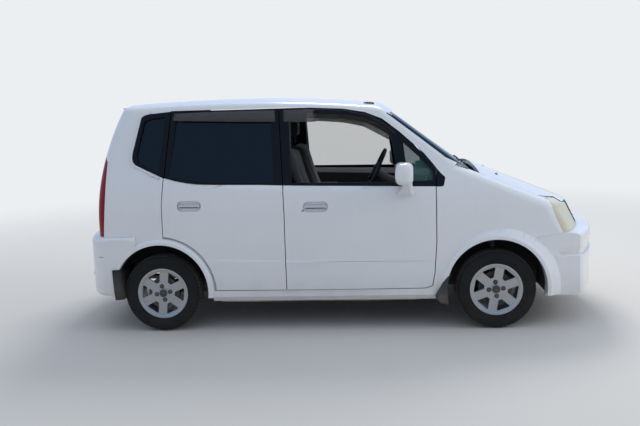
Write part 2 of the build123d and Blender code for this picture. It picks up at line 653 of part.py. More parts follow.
# Bonnet: the top of the nose between the fenders, with an arm back to each hinge
BONNET_HINGE_X = BONNET_REAR_X - 42
BONNET_HINGE_Z = COWL_Z - 26
BONNET_ARM_Y = 600
BONNET_ARM_WIDTH = 24
nose_line = [
    (HEADLAMP_REAR_X - 60, 909), (HEADLAMP_REAR_X, 893), (HEADLAMP_REAR_X + 95, 868), (HEADLAMP_REAR_X + 133, 842),
    (FRONT_X, 790),
    (FRONT_X, 600), (HEADLAMP_REAR_X - 60, 600),
]
with BuildPart() as bonnet:
    add(nose_wall.part)
    add(box(BONNET_REAR_X, FRONT_X, -SEAM_Y, SEAM_Y, 760, 1300), mode=Mode.INTERSECT)
    add(grown_prism(nose_line, SHUT_GAP, -REACH, REACH), mode=Mode.SUBTRACT)
    for arm_y in (-BONNET_ARM_Y, BONNET_ARM_Y):
        with BuildSketch(Plane.XZ.offset(-arm_y - BONNET_ARM_WIDTH / 2)):
            with Locations((BONNET_HINGE_X, BONNET_HINGE_Z)):
                Circle(HINGE_R)
            with BuildLine():
                Polyline((BONNET_HINGE_X, BONNET_HINGE_Z - 6), (BONNET_REAR_X + 60, BONNET_HINGE_Z - 34),
                         (BONNET_REAR_X + 60, BONNET_HINGE_Z - 14), (BONNET_HINGE_X, BONNET_HINGE_Z + 6), close=True)
            make_face()
        extrude(amount=BONNET_ARM_WIDTH)
save(bonnet.part, "bonnet")

# Grille between the headlamps, with a row of slots
GRILLE_HALF = HEADLAMP_INNER_Y - SEAT
GRILLE_SLOTS = ((700, 18), (730, 18), (760, 14))
with BuildPart() as grille:
    add(nose_outer)
    add(nose_core.part, mode=Mode.SUBTRACT)
    add(grown_prism(headlamp_outline, 0, -GRILLE_HALF, GRILLE_HALF), mode=Mode.INTERSECT)
    for slot_z, slot_height in GRILLE_SLOTS:
        add(box(FRONT_AXLE_X + 300, FRONT_X, -GRILLE_HALF + 30, GRILLE_HALF - 30,
                slot_z - slot_height / 2, slot_z + slot_height / 2), mode=Mode.SUBTRACT)
save(grille.part, "grille")

# Side frame: rail, pillars, quarter panel and sill, round both door openings
FRAME_INNER_Y = GUTTER_Y + SEAT
REAR_BUMPER_TOP_Z = 692
REAR_BUMPER_FRONT_X = REAR_AXLE_X - 170
with BuildPart() as pillar_low:
    add(cabin_solid(LOWER_WALL + 28, LOWER_WALL + 28))
    add(cabin_solid(LOWER_WALL + 80, LOWER_WALL + 80), mode=Mode.SUBTRACT)
    add(box(B_SHUT_X - 75, B_SHUT_X + 70, -REACH, 0, 240, BELT_Z + 22), mode=Mode.INTERSECT)
with BuildPart() as pillar_high:
    add(cabin_solid(UPPER_WALL + 24, UPPER_WALL + 24))
    add(cabin_solid(UPPER_WALL + 72, UPPER_WALL + 72), mode=Mode.SUBTRACT)
    add(box(B_SHUT_X - 85, B_SHUT_X + 40, -REACH, -FRAME_INNER_Y, BELT_Z + 20, HEIGHT), mode=Mode.INTERSECT)
with BuildPart() as rail:
    add(cabin_solid(UPPER_WALL - 6, UPPER_WALL - 6))
    add(cabin_solid(UPPER_WALL + 60, UPPER_WALL + 60), mode=Mode.SUBTRACT)
    add(box(REAR_DOOR_END_X, HEAD_X - 200, -REACH, -FRAME_INNER_Y, DOOR_TOP_Z + SHUT_GAP, HEIGHT), mode=Mode.INTERSECT)
SILL_Y = 798
SILL_EDGE_Z = 252
A_POST_Y = 698
FLOOR_HALF = 678
with BuildPart() as hinge_lugs:
    for hinge_x, hinge_y in ((FRONT_HINGE_X, FRONT_HINGE_Y), (REAR_HINGE_X, REAR_HINGE_Y)):
        for height in HINGE_HEIGHTS:
            low, high = height - LUG_HALF, height + LUG_HALF
            add(box(hinge_x - HINGE_R, hinge_x + HINGE_R, -hinge_y, -A_POST_Y + 16, low, high))
            with BuildSketch(Plane.XY.offset(low)):
                with Locations((hinge_x, -hinge_y)):
                    Circle(HINGE_R)
            extrude(amount=high - low)
    add(side_solid(SKIN + SEAT), mode=Mode.INTERSECT)
with BuildPart() as side_frame:
    add(cabin_wall.part)
    add(box(REAR_X - 10, FOOT_X, -REACH, -FRAME_INNER_Y, 0, HEIGHT + 20), mode=Mode.INTERSECT)
    add(grown_prism(front_door_outline, SHUT_GAP, WINDOW_NEAR - 20, REACH), mode=Mode.SUBTRACT)
    add(grown_prism(rear_door_outline, SHUT_GAP, WINDOW_NEAR - 20, REACH), mode=Mode.SUBTRACT)
    add(arch_lip(REAR_AXLE_X, LIP_R, FENDER_BOTTOM_Z))
    add(rear_arch, mode=Mode.SUBTRACT)
    add(grown_prism(fender_outline, SEAT, 500, REACH), mode=Mode.SUBTRACT)
    add(screen_block.part, mode=Mode.SUBTRACT)
    add(xz_prism(quarter_window_outline, WINDOW_NEAR, REACH), mode=Mode.SUBTRACT)
    add(hatch_zone, mode=Mode.SUBTRACT)
    add(grown_prism(lamp_outline, SEAT, 500, REACH), mode=Mode.SUBTRACT)
    add(box(REAR_X - 10, REAR_BUMPER_FRONT_X, -REACH, 0, 0, REAR_BUMPER_TOP_Z + SEAT), mode=Mode.SUBTRACT)
    add(pillar_low.part)
    add(pillar_high.part)
    add(rail.part)
    with BuildSketch(Plane.YZ.offset(REAR_AXLE_X + 370)):
        with BuildLine():
            Polyline((-SILL_Y, DOOR_BOTTOM_Z - SHUT_GAP), (-SILL_Y, SILL_EDGE_Z), (-SILL_Y + 26, SILL_BOTTOM_Z),
                     (-FLOOR_HALF - SEAT, SILL_BOTTOM_Z), (-FLOOR_HALF - SEAT, DOOR_BOTTOM_Z - SHUT_GAP), close=True)
        make_face()
    extrude(amount=DOOR_FRONT_X + FRONT_SHUT_GAP - SEAT - REAR_AXLE_X - 370)
    add(box(DOOR_FRONT_X - 60, DOOR_FRONT_X + 30, -A_POST_Y, -FLOOR_HALF - SEAT, SILL_BOTTOM_Z, 1075))
    add(hinge_lugs.part)
save(side_frame.part, "side_frame_right")
save(other_side(side_frame.part), "side_frame_left")

# Front bumper: a moulded shell round the nose, with a step along it
BUMPER_WALL = 40
BUMPER_SIDE_Y = HALF_WIDTH
FRONT_BUMPER_REAR_X = HEADLAMP_REAR_X - 83 + SEAT
BUMPER_CORNER_R = 240
BUMPER_BOTTOM_Z = 228
REAR_BUMPER_BOTTOM_Z = 262
STEP_Z = 515
STEP_DEPTH = 9
BUMPER_EDGE_R = 34
BUMPER_PROUD = 5
REAR_PROUD = 32
INTAKE_HALF = 300
INTAKE_LOW_Z = 300
INTAKE_TOP_Z = 420


def bumper(face_x, bow_r, back_x, low, high, proud):
    """A bumper shell: its plan outline bows along the car's end and returns along both sides."""
    ahead = 1 if face_x > 0 else -1
    sag = bow_r - sqrt(bow_r ** 2 - BUMPER_SIDE_Y ** 2)
    corner_x = face_x - ahead * sag
    with BuildPart() as shell:
        with BuildSketch(Plane.XY.offset(low)) as plan:
            with BuildLine():
                Polyline((corner_x, -BUMPER_SIDE_Y), (back_x, -BUMPER_SIDE_Y), (back_x, BUMPER_SIDE_Y),
                         (corner_x, BUMPER_SIDE_Y))
                ThreePointArc((corner_x, BUMPER_SIDE_Y), (face_x, 0), (corner_x, -BUMPER_SIDE_Y))
            make_face()
            fillet(plan.vertices().filter_by(lambda corner: abs(corner.X - corner_x) < 1), radius=BUMPER_CORNER_R)
        extrude(amount=high - low)
        outer = shell.faces().filter_by(Axis.Z)
        rims = [edge for face in outer for edge in face.edges() if abs(edge.center().X - back_x) > 1]
        fillet(rims, radius=BUMPER_EDGE_R)
    with BuildPart() as groove:
        with BuildSketch(Plane.XY.offset(STEP_Z - 6)):
            with BuildLine():
                Polyline((corner_x, -BUMPER_SIDE_Y - 50), (back_x - ahead * 50, -BUMPER_SIDE_Y - 50),
                         (back_x - ahead * 50, BUMPER_SIDE_Y + 50), (corner_x, BUMPER_SIDE_Y + 50))
                ThreePointArc((corner_x, BUMPER_SIDE_Y + 50), (face_x + ahead * 50, 0),
                              (corner_x, -BUMPER_SIDE_Y - 50))
            make_face()
            with BuildLine():
                Polyline((corner_x, -BUMPER_SIDE_Y + STEP_DEPTH), (back_x - ahead * 60, -BUMPER_SIDE_Y + STEP_DEPTH),
                         (back_x - ahead * 60, BUMPER_SIDE_Y - STEP_DEPTH), (corner_x, BUMPER_SIDE_Y - STEP_DEPTH))
                ThreePointArc((corner_x, BUMPER_SIDE_Y - STEP_DEPTH), (face_x - ahead * STEP_DEPTH, 0),
                              (corner_x, -BUMPER_SIDE_Y + STEP_DEPTH))
            make_face(mode=Mode.SUBTRACT)
        extrude(amount=12)
    with BuildPart() as room:
        with BuildSketch(Plane.XY.offset(low - 10)) as plan:
            with BuildLine():
                Polyline((corner_x, -BUMPER_SIDE_Y + BUMPER_WALL), (back_x - ahead * 20, -BUMPER_SIDE_Y + BUMPER_WALL),
                         (back_x - ahead * 20, BUMPER_SIDE_Y - BUMPER_WALL), (corner_x, BUMPER_SIDE_Y - BUMPER_WALL))
                ThreePointArc((corner_x, BUMPER_SIDE_Y - BUMPER_WALL), (face_x - ahead * BUMPER_WALL, 0),
                              (corner_x, -BUMPER_SIDE_Y + BUMPER_WALL))
            make_face()
            fillet(plan.vertices().filter_by(lambda corner: abs(corner.X - corner_x) < 1),
                   radius=BUMPER_CORNER_R - BUMPER_WALL)
        extrude(amount=high - low + 10 - BUMPER_WALL)
    with BuildPart() as hollow:
        add(room.part)
        for flank in (side_solid(BUMPER_WALL - proud), other_side(side_solid(BUMPER_WALL - proud))):
            add(flank, mode=Mode.INTERSECT)
    with BuildPart() as part:
        add(shell.part)
        for flank in (side_solid(-proud), other_side(side_solid(-proud))):
            add(flank, mode=Mode.INTERSECT)
        add(groove.part, mode=Mode.SUBTRACT)
        add(hollow.part, mode=Mode.SUBTRACT)
    return part.part


front_bumper_shell = bumper(FRONT_X, NOSE_R, FRONT_BUMPER_REAR_X, BUMPER_BOTTOM_Z, BUMPER_TOP_Z - SEAT, BUMPER_PROUD)
rear_bumper_shell = bumper(REAR_X, TAIL_R, REAR_BUMPER_FRONT_X - SEAT, REAR_BUMPER_BOTTOM_Z, REAR_BUMPER_TOP_Z, REAR_PROUD)
fender_fit = grown_prism(fender_outline, SEAT, 500, REACH)
with BuildPart() as bumper_lip:
    add(front_lip)
    add(box(FRONT_AXLE_X + 200, FRONT_X, -REACH, 0, BUMPER_BOTTOM_Z, BUMPER_TOP_Z), mode=Mode.INTERSECT)
with BuildPart() as front_bumper:
    add(front_bumper_shell)
    add(nose_core.part, mode=Mode.SUBTRACT)
    for corner in (bumper_lip.part, other_side(bumper_lip.part)):
        add(corner)
    for space in (fender_fit, front_arch):
        add(space, mode=Mode.SUBTRACT)
        add(other_side(space), mode=Mode.SUBTRACT)
    add(box(FRONT_X - 200, FRONT_X + 10, -INTAKE_HALF, INTAKE_HALF, INTAKE_LOW_Z, INTAKE_TOP_Z), mode=Mode.SUBTRACT)
save(front_bumper.part, "front_bumper")
with BuildPart() as rear_bumper:
    add(rear_bumper_shell)
    add(cabin_door_inner, mode=Mode.SUBTRACT)
    add(rear_arch, mode=Mode.SUBTRACT)
    add(other_side(rear_arch), mode=Mode.SUBTRACT)
save(rear_bumper.part, "rear_bumper")

# Wheels: a tyre on a six-spoke rim, bolted through a flat face to the hub
RIM_FLANGE_R = 182
BEAD_R = 165
RIM_HALF = 70
FACE_OUT = 40
BOLT_CIRCLE_R = 50
LUG_R = 9
HUB_BORE_R = 28
SPOKES = 6


def wheel_plane(x, side):
    """The plane across a wheel: its first axis points out of the car and its second up."""
    return Plane(origin=(x, side * HALF_TRACK, TYRE_RADIUS), x_dir=(0, side, 0), z_dir=(side, 0, 0))


def tyre(x, side):
    """A tyre with its tread, shoulders, sidewalls and beads, filled to the rim."""
    half = TYRE_WIDTH / 2
    bead_top = RIM_FLANGE_R + SEAT
    bead_half = RIM_HALF - 6.8 - SEAT
    with BuildPart() as ring:
        with BuildSketch(wheel_plane(x, side)):
            with BuildLine():
                Polyline((14 - half, TYRE_RADIUS - 5), (-20, TYRE_RADIUS), (20, TYRE_RADIUS), (half - 14, TYRE_RADIUS - 5),
                         (half - 3, TYRE_RADIUS - 20), (half, TYRE_RADIUS - 46), (half - 3, RIM_FLANGE_R + 16),
                         (RIM_HALF - 3, bead_top), (bead_half, bead_top), (bead_half, BEAD_R + SEAT),
                         (-bead_half, BEAD_R + SEAT), (-bead_half, bead_top), (3 - RIM_HALF, bead_top),
                         (3 - half, RIM_FLANGE_R + 16), (-half, TYRE_RADIUS - 46), (3 - half, TYRE_RADIUS - 20), close=True)
            make_face()
        revolve(axis=Axis((x, 0, TYRE_RADIUS), (0, 1, 0)))
    return ring.part


def rim(x, side, turn):
    """A one-piece alloy rim: barrel, dished disc with six broad spokes, lug pockets and centre cap."""
    with BuildPart() as wheel:
        with BuildSketch(wheel_plane(x, side)):
            with BuildLine():
                Polyline((-RIM_HALF, RIM_FLANGE_R), (6 - RIM_HALF, RIM_FLANGE_R), (6.8 - RIM_HALF, BEAD_R),
                         (RIM_HALF - 6.8, BEAD_R), (RIM_HALF - 6, RIM_FLANGE_R), (RIM_HALF, RIM_FLANGE_R),
                         (RIM_HALF, RIM_FLANGE_R - 8), (RIM_HALF - 6, BEAD_R - 7), (6 - RIM_HALF, BEAD_R - 7),
                         (-RIM_HALF, RIM_FLANGE_R - 8), close=True)
            make_face()
            with BuildLine():
                Polyline((FACE_OUT, 0), (FACE_OUT, 74), (FACE_OUT - 2, 100), (RIM_HALF - 26, BEAD_R - 2),
                         (RIM_HALF - 9, BEAD_R - 2), (RIM_HALF - 12, 150), (FACE_OUT + 14, 70),
                         (FACE_OUT + 14, 34), (FACE_OUT + 22, 32), (FACE_OUT + 22, 0), close=True)
            make_face()
        revolve(axis=Axis((x, 0, TYRE_RADIUS), (0, 1, 0)))
        face = Plane(origin=(x, side * (HALF_TRACK + FACE_OUT - 30), TYRE_RADIUS), x_dir=(1, 0, 0), z_dir=(0, side, 0))
        with BuildSketch(face):
            with PolarLocations(0, SPOKES, start_angle=turn):
                Polygon((82, -12), (143, -47), (150, -38), (150, 38), (143, 47), (82, 12), align=None)
        extrude(amount=90, mode=Mode.SUBTRACT)
        with BuildSketch(Plane(origin=face.origin + Vector(0, side * 38, 0), x_dir=(1, 0, 0), z_dir=(0, side, 0))):
            with PolarLocations(BOLT_CIRCLE_R, 4, start_angle=turn + 45):
                Circle(LUG_R)
        extrude(amount=30, mode=Mode.SUBTRACT)
        with BuildSketch(Plane(origin=face.origin + Vector(0, side * 20, 0), x_dir=(1, 0, 0), z_dir=(0, side, 0))):
            Circle(HUB_BORE_R)
        extrude(amount=24, mode=Mode.SUBTRACT)
    return wheel.part


# Each wheel's place, axle, side of the car and how far its spokes stand turned
WHEELS = (("front_right", FRONT_AXLE_X, -1, 50), ("front_left", FRONT_AXLE_X, 1, 10),
          ("rear_right", REAR_AXLE_X, -1, 55), ("rear_left", REAR_AXLE_X, 1, 25))
for place, wheel_x, side, turn in WHEELS:
    save(tyre(wheel_x, side), f"tyre_{place}")
    save(rim(wheel_x, side, turn), f"rim_{place}")

# Floor: pan, tunnel, wheelhouses, firewall and rear panel, which carry everything else
FLOOR_Z = 205
FLOOR_T = 22
FLOOR_REAR_X = TAIL_X + LOWER_WALL + SEAT
FIREWALL_X = FRONT_AXLE_X - 380
APRON_Y = 450
APRON_T = 12
APRON_FRONT_X = FRONT_AXLE_X + 340
TOWER_TOP_Z = 850
HOUSE_R = ARCH_R + 8
HOUSE_T = 8
LOAD_FLOOR_Z = 520
KINGPIN_LOW = (668, 190)
KINGPIN_TOP = (565, TOWER_TOP_Z)


HOUSE_INNER_Y = 520
HOUSE_OUTER_Y = 712
HOUSE_OPEN_Z = 400
HEEL_X = REAR_AXLE_X + 402
HEEL_Z = 345
STEP_X = REAR_AXLE_X + 180
SHEET = 18
REAR_PANEL_HALF = 330
WELL_X = REAR_AXLE_X - 112
WELL_R = 270
WELL_BOTTOM_Z = 330
with BuildPart() as wheelhouse:
    add(drum(REAR_AXLE_X, ARCH_Z, HOUSE_R + HOUSE_T, HOUSE_INNER_Y, HOUSE_OUTER_Y))
    add(drum(REAR_AXLE_X, ARCH_Z, HOUSE_R, HOUSE_INNER_Y + HOUSE_T, HOUSE_OUTER_Y + 1), mode=Mode.SUBTRACT)
    add(box(REAR_X, FRONT_AXLE_X, -REACH, 0, -200, HOUSE_OPEN_Z), mode=Mode.SUBTRACT)
with BuildPart() as floor_half:
    add(box(HEEL_X, FIREWALL_X + 20, -FLOOR_HALF, 0, FLOOR_Z, FLOOR_Z + FLOOR_T))
    add(box(FIREWALL_X, FIREWALL_X + 20, -FLOOR_HALF, 0, FLOOR_Z, COWL_Z - 60))
    add(box(HEEL_X, HEEL_X + SHEET, -FLOOR_HALF, 0, FLOOR_Z, HEEL_Z + SHEET))
    add(box(STEP_X, HEEL_X + SHEET, -FLOOR_HALF, 0, HEEL_Z, HEEL_Z + SHEET))
    add(box(STEP_X, STEP_X + SHEET, -FLOOR_HALF, 0, HEEL_Z, LOAD_FLOOR_Z + SHEET))
    add(box(FLOOR_REAR_X, STEP_X, -REAR_PANEL_HALF, 0, LOAD_FLOOR_Z, LOAD_FLOOR_Z + SHEET))
    add(box(FLOOR_REAR_X + 75, STEP_X, -FLOOR_HALF + 130, 0, LOAD_FLOOR_Z, LOAD_FLOOR_Z + SHEET))
    add(box(FLOOR_REAR_X, FLOOR_REAR_X + 20, -REAR_PANEL_HALF, 0,
            REAR_BUMPER_BOTTOM_Z + 40, REAR_BUMPER_TOP_Z - BUMPER_WALL - SEAT))
    add(box(FLOOR_REAR_X + 75, STEP_X, -510, -440, LOAD_FLOOR_Z - 70, LOAD_FLOOR_Z))
    add(drum(REAR_AXLE_X, ARCH_Z, HOUSE_R + HOUSE_T, HOUSE_INNER_Y, REACH), mode=Mode.SUBTRACT)
    add(wheelhouse.part)
    add(box(HEEL_X, FIREWALL_X, -520, -440, FLOOR_Z - 35, FLOOR_Z))
    add(box(FIREWALL_X, APRON_FRONT_X, -APRON_Y - APRON_T, -APRON_Y, 300, TOWER_TOP_Z))
    add(box(FRONT_AXLE_X - 110, FRONT_AXLE_X + 110, -660, -APRON_Y, TOWER_TOP_Z, TOWER_TOP_Z + 14))
    add(box(FRONT_AXLE_X - 110, FRONT_AXLE_X - 98, -660, -APRON_Y, TOWER_TOP_Z - 190, TOWER_TOP_Z))
    add(box(FRONT_AXLE_X + 98, FRONT_AXLE_X + 110, -660, -APRON_Y, TOWER_TOP_Z - 190, TOWER_TOP_Z))
    add(box(APRON_FRONT_X - 12, APRON_FRONT_X, -APRON_Y, 0, 300, 700))
    add(box(FIREWALL_X, APRON_FRONT_X, -APRON_Y - APRON_T, -APRON_Y + 70, 240, 300))
with BuildPart() as floor_pan:
    add(floor_half.part)
    add(other_side(floor_half.part))
    with BuildSketch(Plane.XY.offset(WELL_BOTTOM_Z)):
        with Locations((WELL_X, 0)):
            Circle(WELL_R)
    extrude(amount=LOAD_FLOOR_Z - WELL_BOTTOM_Z)
    with BuildSketch(Plane.XY.offset(WELL_BOTTOM_Z + HOUSE_T)):
        with Locations((WELL_X, 0)):
            Circle(WELL_R - HOUSE_T)
    extrude(amount=LOAD_FLOOR_Z, mode=Mode.SUBTRACT)
    add(box(HEEL_X + SHEET, FIREWALL_X, -110, 110, FLOOR_Z, FLOOR_Z + 120))
    add(box(HEEL_X - 10, FIREWALL_X + 30, -80, 80, FLOOR_Z - 50, FLOOR_Z + 90), mode=Mode.SUBTRACT)

# Engine and gearbox: one block between the aprons
ENGINE_X = FRONT_AXLE_X + 90
with BuildPart() as engine:
    add(box(ENGINE_X - 190, ENGINE_X + 190, -380, 330, 255, 800))
    fillet(engine.edges().filter_by(Axis.Y), radius=40)
save(engine.part, "engine_block")

# Front suspension: cross member, steering rack and a lower arm to each ball joint
ARM_Z = 190
BALL_R = 16


def kingpin_plane(height, side):
    """A plane square to the steering axis, at a height along it."""
    share = (height - KINGPIN_LOW[1]) / (KINGPIN_TOP[1] - KINGPIN_LOW[1])
    y = side * (KINGPIN_LOW[0] + share * (KINGPIN_TOP[0] - KINGPIN_LOW[0]))
    axis = Vector(0, side * (KINGPIN_TOP[0] - KINGPIN_LOW[0]), KINGPIN_TOP[1] - KINGPIN_LOW[1])
    return Plane(origin=(FRONT_AXLE_X, y, height), x_dir=(1, 0, 0), z_dir=axis)


with BuildPart() as lower_arm:
    with BuildSketch(Plane.XY.offset(ARM_Z - 12)):
        with BuildLine():
            Polyline((FRONT_AXLE_X - 30, -KINGPIN_LOW[0] - 10), (FRONT_AXLE_X + 30, -KINGPIN_LOW[0] - 10),
                     (FRONT_AXLE_X + 45, -380), (FRONT_AXLE_X - 45, -380), (FRONT_AXLE_X - 230, -380),
                     (FRONT_AXLE_X - 230, -420), (FRONT_AXLE_X - 60, -560), close=True)
        make_face()
    extrude(amount=24)
    fillet(lower_arm.edges().filter_by(Axis.Z), radius=12)
    with BuildSketch(kingpin_plane(ARM_Z + 4, -1)):
        Circle(BALL_R)
    extrude(amount=26)
with BuildPart() as front_suspension:
    add(lower_arm.part)
    add(other_side(lower_arm.part))
    add(box(FRONT_AXLE_X - 250, FRONT_AXLE_X + 60, -400, 400, ARM_Z - 20, ARM_Z + 40))
    add(box(FRONT_AXLE_X - 230, FRONT_AXLE_X - 160, -APRON_Y + 2, APRON_Y - 2, ARM_Z + 10, 240))
    add(drum(FRONT_AXLE_X - 150, 262, 24, -APRON_Y + 70 + SEAT, APRON_Y - 70 - SEAT))
save(front_suspension.part, "front_suspension")

# Steering knuckles with hub, brake disc and strut, which turn about the kingpin
DISC_R = 118
HUB_R = 62
STRUT_R = 22
SPRING_R = 52
STRUT_FOOT = (590, 420)


def knuckle(side):
    """One front knuckle: upright, steering boss, hub and disc, and the strut up to its tower."""
    axle = (FRONT_AXLE_X, 0, TYRE_RADIUS)
    with BuildPart() as upright:
        with BuildSketch(kingpin_plane(ARM_Z + 4, side).offset(26 + SEAT)):
            Circle(24)
        extrude(amount=34)
        with BuildSketch(Plane(origin=axle, x_dir=(0, side, 0), z_dir=(side, 0, 0))):
            with BuildLine():
                Polyline((HALF_TRACK - 80, 0), (HALF_TRACK + FACE_OUT - SEAT, 0), (HALF_TRACK + FACE_OUT - SEAT, HUB_R),
                         (HALF_TRACK + 30, HUB_R), (HALF_TRACK + 12, HUB_R), (HALF_TRACK + 12, DISC_R),
                         (HALF_TRACK, DISC_R), (HALF_TRACK, 45), (HALF_TRACK - 80, 45), close=True)
            make_face()
            with BuildLine():
                Polyline((HALF_TRACK + 30, 0), (HALF_TRACK + FACE_OUT + 10, 0), (HALF_TRACK + FACE_OUT + 10, HUB_BORE_R - SEAT),
                         (HALF_TRACK + 30, HUB_BORE_R - SEAT), close=True)
            make_face()
        revolve(axis=Axis(axle, (0, 1, 0)))
        low_y, high_y = sorted((side * (HALF_TRACK - 80), side * (HALF_TRACK - 34)))
        add(box(FRONT_AXLE_X - 34, FRONT_AXLE_X + 34, low_y, high_y, ARM_Z + 62, 410))
        low_y, high_y = sorted((side * (STRUT_FOOT[0] - 8), side * (HALF_TRACK - 60)))
        add(box(FRONT_AXLE_X - 30, FRONT_AXLE_X + 30, low_y, high_y, 340, 410))
    top = Vector(FRONT_AXLE_X, side * KINGPIN_TOP[0], TOWER_TOP_Z - SEAT)
    foot = Vector(FRONT_AXLE_X, side * STRUT_FOOT[0], 335)
    along = top - foot
    base = Plane(origin=foot, x_dir=(1, 0, 0), z_dir=along)
    reach = along.length - 12
    with BuildPart() as strut:
        with BuildSketch(base):
            Circle(STRUT_R)
        extrude(amount=reach)
        with BuildSketch(base.offset(reach - 230)):
            Circle(SPRING_R)
        extrude(amount=222)
    with BuildPart() as whole:
        add(upright.part)
        add(strut.part)
        with BuildSketch(kingpin_plane(TOWER_TOP_Z - 30, side)):
            Circle(20)
        extrude(amount=25)
    return whole.part


for side, name in ((-1, "right"), (1, "left")):
    save(knuckle(side), f"knuckle_{name}")

# Rear axle: a twist beam with trailing arms, drums, springs and dampers
BEAM_X = REAR_AXLE_X + 170
DRUM_R = 112
with BuildPart() as rear_half:
    add(drum(BEAM_X, 262, 34, 0, 560))
    with BuildSketch(Plane.XZ.offset(520)):
        with BuildLine():
            Polyline((REAR_AXLE_X - 40, 240), (REAR_AXLE_X - 40, 316), (REAR_AXLE_X + 60, 330),
                     (HEEL_X - SEAT, 300), (HEEL_X - SEAT, 250), (REAR_AXLE_X + 60, 235), close=True)
        make_face()
    extrude(amount=50)
    with BuildSketch(Plane(origin=(REAR_AXLE_X, 0, TYRE_RADIUS), x_dir=(0, -1, 0), z_dir=(-1, 0, 0))):
        with BuildLine():
            Polyline((550, 0), (HALF_TRACK + FACE_OUT + 10, 0), (HALF_TRACK + FACE_OUT + 10, HUB_BORE_R - SEAT),
                     (HALF_TRACK + FACE_OUT - SEAT, HUB_BORE_R - SEAT), (HALF_TRACK + FACE_OUT - SEAT, HUB_R),
                     (HALF_TRACK + FACE_OUT - 9, HUB_R), (HALF_TRACK + FACE_OUT - 9, DRUM_R),
                     (HALF_TRACK - 16, DRUM_R), (HALF_TRACK - 24, 40), (550, 40), close=True)
        make_face()
    revolve(axis=Axis((REAR_AXLE_X, 0, TYRE_RADIUS), (0, 1, 0)))
with BuildPart() as rear_axle:
    add(rear_half.part)
    add(other_side(rear_half.part))
save(rear_axle.part, "rear_axle")

# Seats: two in front and a bench behind, each a cushion and a leaning back
SEAT_Y = 370
SEAT_HALF = 240
CUSHION_Z = 470
BACK_LEAN = 0.24
seat_side = [
    (-190, CUSHION_Z + 30), (-150, CUSHION_Z - 20), (340, CUSHION_Z), (360, CUSHION_Z + 70),
    (330, CUSHION_Z + 130), (-60, CUSHION_Z + 115), (-100, CUSHION_Z + 130), (-262, 1100), (-318, 1290),
    (-400, 1310), (-420, 1260), (-330, 1090), (-215, 700),
]
with BuildPart() as front_seat:
    add(xz_prism(seat_side, SEAT_Y - SEAT_HALF, SEAT_Y + SEAT_HALF))
    fillet(front_seat.edges().filter_by(Axis.Y), radius=18)
    add(box(-432, -350, -SEAT_Y - 115, -SEAT_Y + 115, 1316, 1480))
    for post_y in (-SEAT_Y - 50, -SEAT_Y + 50):
        add(box(-390, -376, post_y - 6, post_y + 6, 1290, 1330))
    for rail_y in (-SEAT_Y - 180, -SEAT_Y + 180):
        add(box(-160, 300, rail_y - 20, rail_y + 20, FLOOR_Z + FLOOR_T + SEAT, CUSHION_Z + 10))
with BuildPart() as front_seats:
    add(front_seat.part)
    add(other_side(front_seat.part))
save(front_seats.part, "front_seats")
bench_side = [(x - 840, z + 40) for x, z in seat_side]
with BuildPart() as rear_seat:
    add(xz_prism(bench_side, -500, 500))
    fillet(rear_seat.edges().filter_by(Axis.Y), radius=18)
    add(box(-1010, -560, -440, 440, HEEL_Z + SHEET + SEAT, CUSHION_Z + 50))
    for post_y in (-250, 250):
        add(box(-1270, -1195, post_y - 110, post_y + 110, 1330, 1450))
save(rear_seat.part, "rear_seat")

# Dashboard across the cabin, with the steering column and its wheel on the right
DASH_REAR_X = FIREWALL_X - 250
WHEEL_CENTRE = (275, -SEAT_Y, 1073)
WHEEL_RIM_R = 185
dash_side = [
    (FIREWALL_X - SEAT, 720), (FIREWALL_X - 160, 700), (DASH_REAR_X, 800), (DASH_REAR_X, 980),
    (DASH_REAR_X + 60, 1020), (FIREWALL_X - 40, 1026), (FIREWALL_X - SEAT, 1000),
]
COLUMN_R = 34
COLUMN_LENGTH = 240
column_axis = Vector(-0.9, 0, 0.435)
hub_plane = Plane(origin=WHEEL_CENTRE, x_dir=(0, 1, 0), z_dir=column_axis)
with BuildPart() as dashboard:
    add(xz_prism(dash_side, -660, 660))
    fillet(dashboard.edges().filter_by(Axis.Y), radius=16)
    with BuildSketch(hub_plane):
        Circle(COLUMN_R + SEAT)
    extrude(amount=-COLUMN_LENGTH - 25 - 2 * SEAT, mode=Mode.SUBTRACT)
with BuildPart() as column:
    with BuildSketch(hub_plane.offset(-25 - SEAT)):
        Circle(COLUMN_R)
    extrude(amount=-COLUMN_LENGTH)
save(dashboard.part, "dashboard")
save(column.part, "steering_column")
with BuildPart() as steering_wheel:
    with BuildSketch(Plane(origin=WHEEL_CENTRE, x_dir=(0, 1, 0), z_dir=column_axis)) as hub:
        Circle(62)
    extrude(amount=25, both=True)
    for turn in (0, 120, 240):
        with BuildSketch(hub_plane):
            with Locations(Location((0, 0, 0), (0, 0, turn + 90))):
                with Locations((WHEEL_RIM_R / 2, 0)):
                    Rectangle(WHEEL_RIM_R - 10, 34)
        extrude(amount=8, both=True)
    with BuildSketch(Plane(origin=WHEEL_CENTRE, x_dir=(0, 1, 0), z_dir=hub_plane.y_dir)):
        with Locations((WHEEL_RIM_R, 0)):
            RegularPolygon(14, 8)
    revolve(axis=Axis(WHEEL_CENTRE, tuple(column_axis)))
save(steering_wheel.part, "steering_wheel")

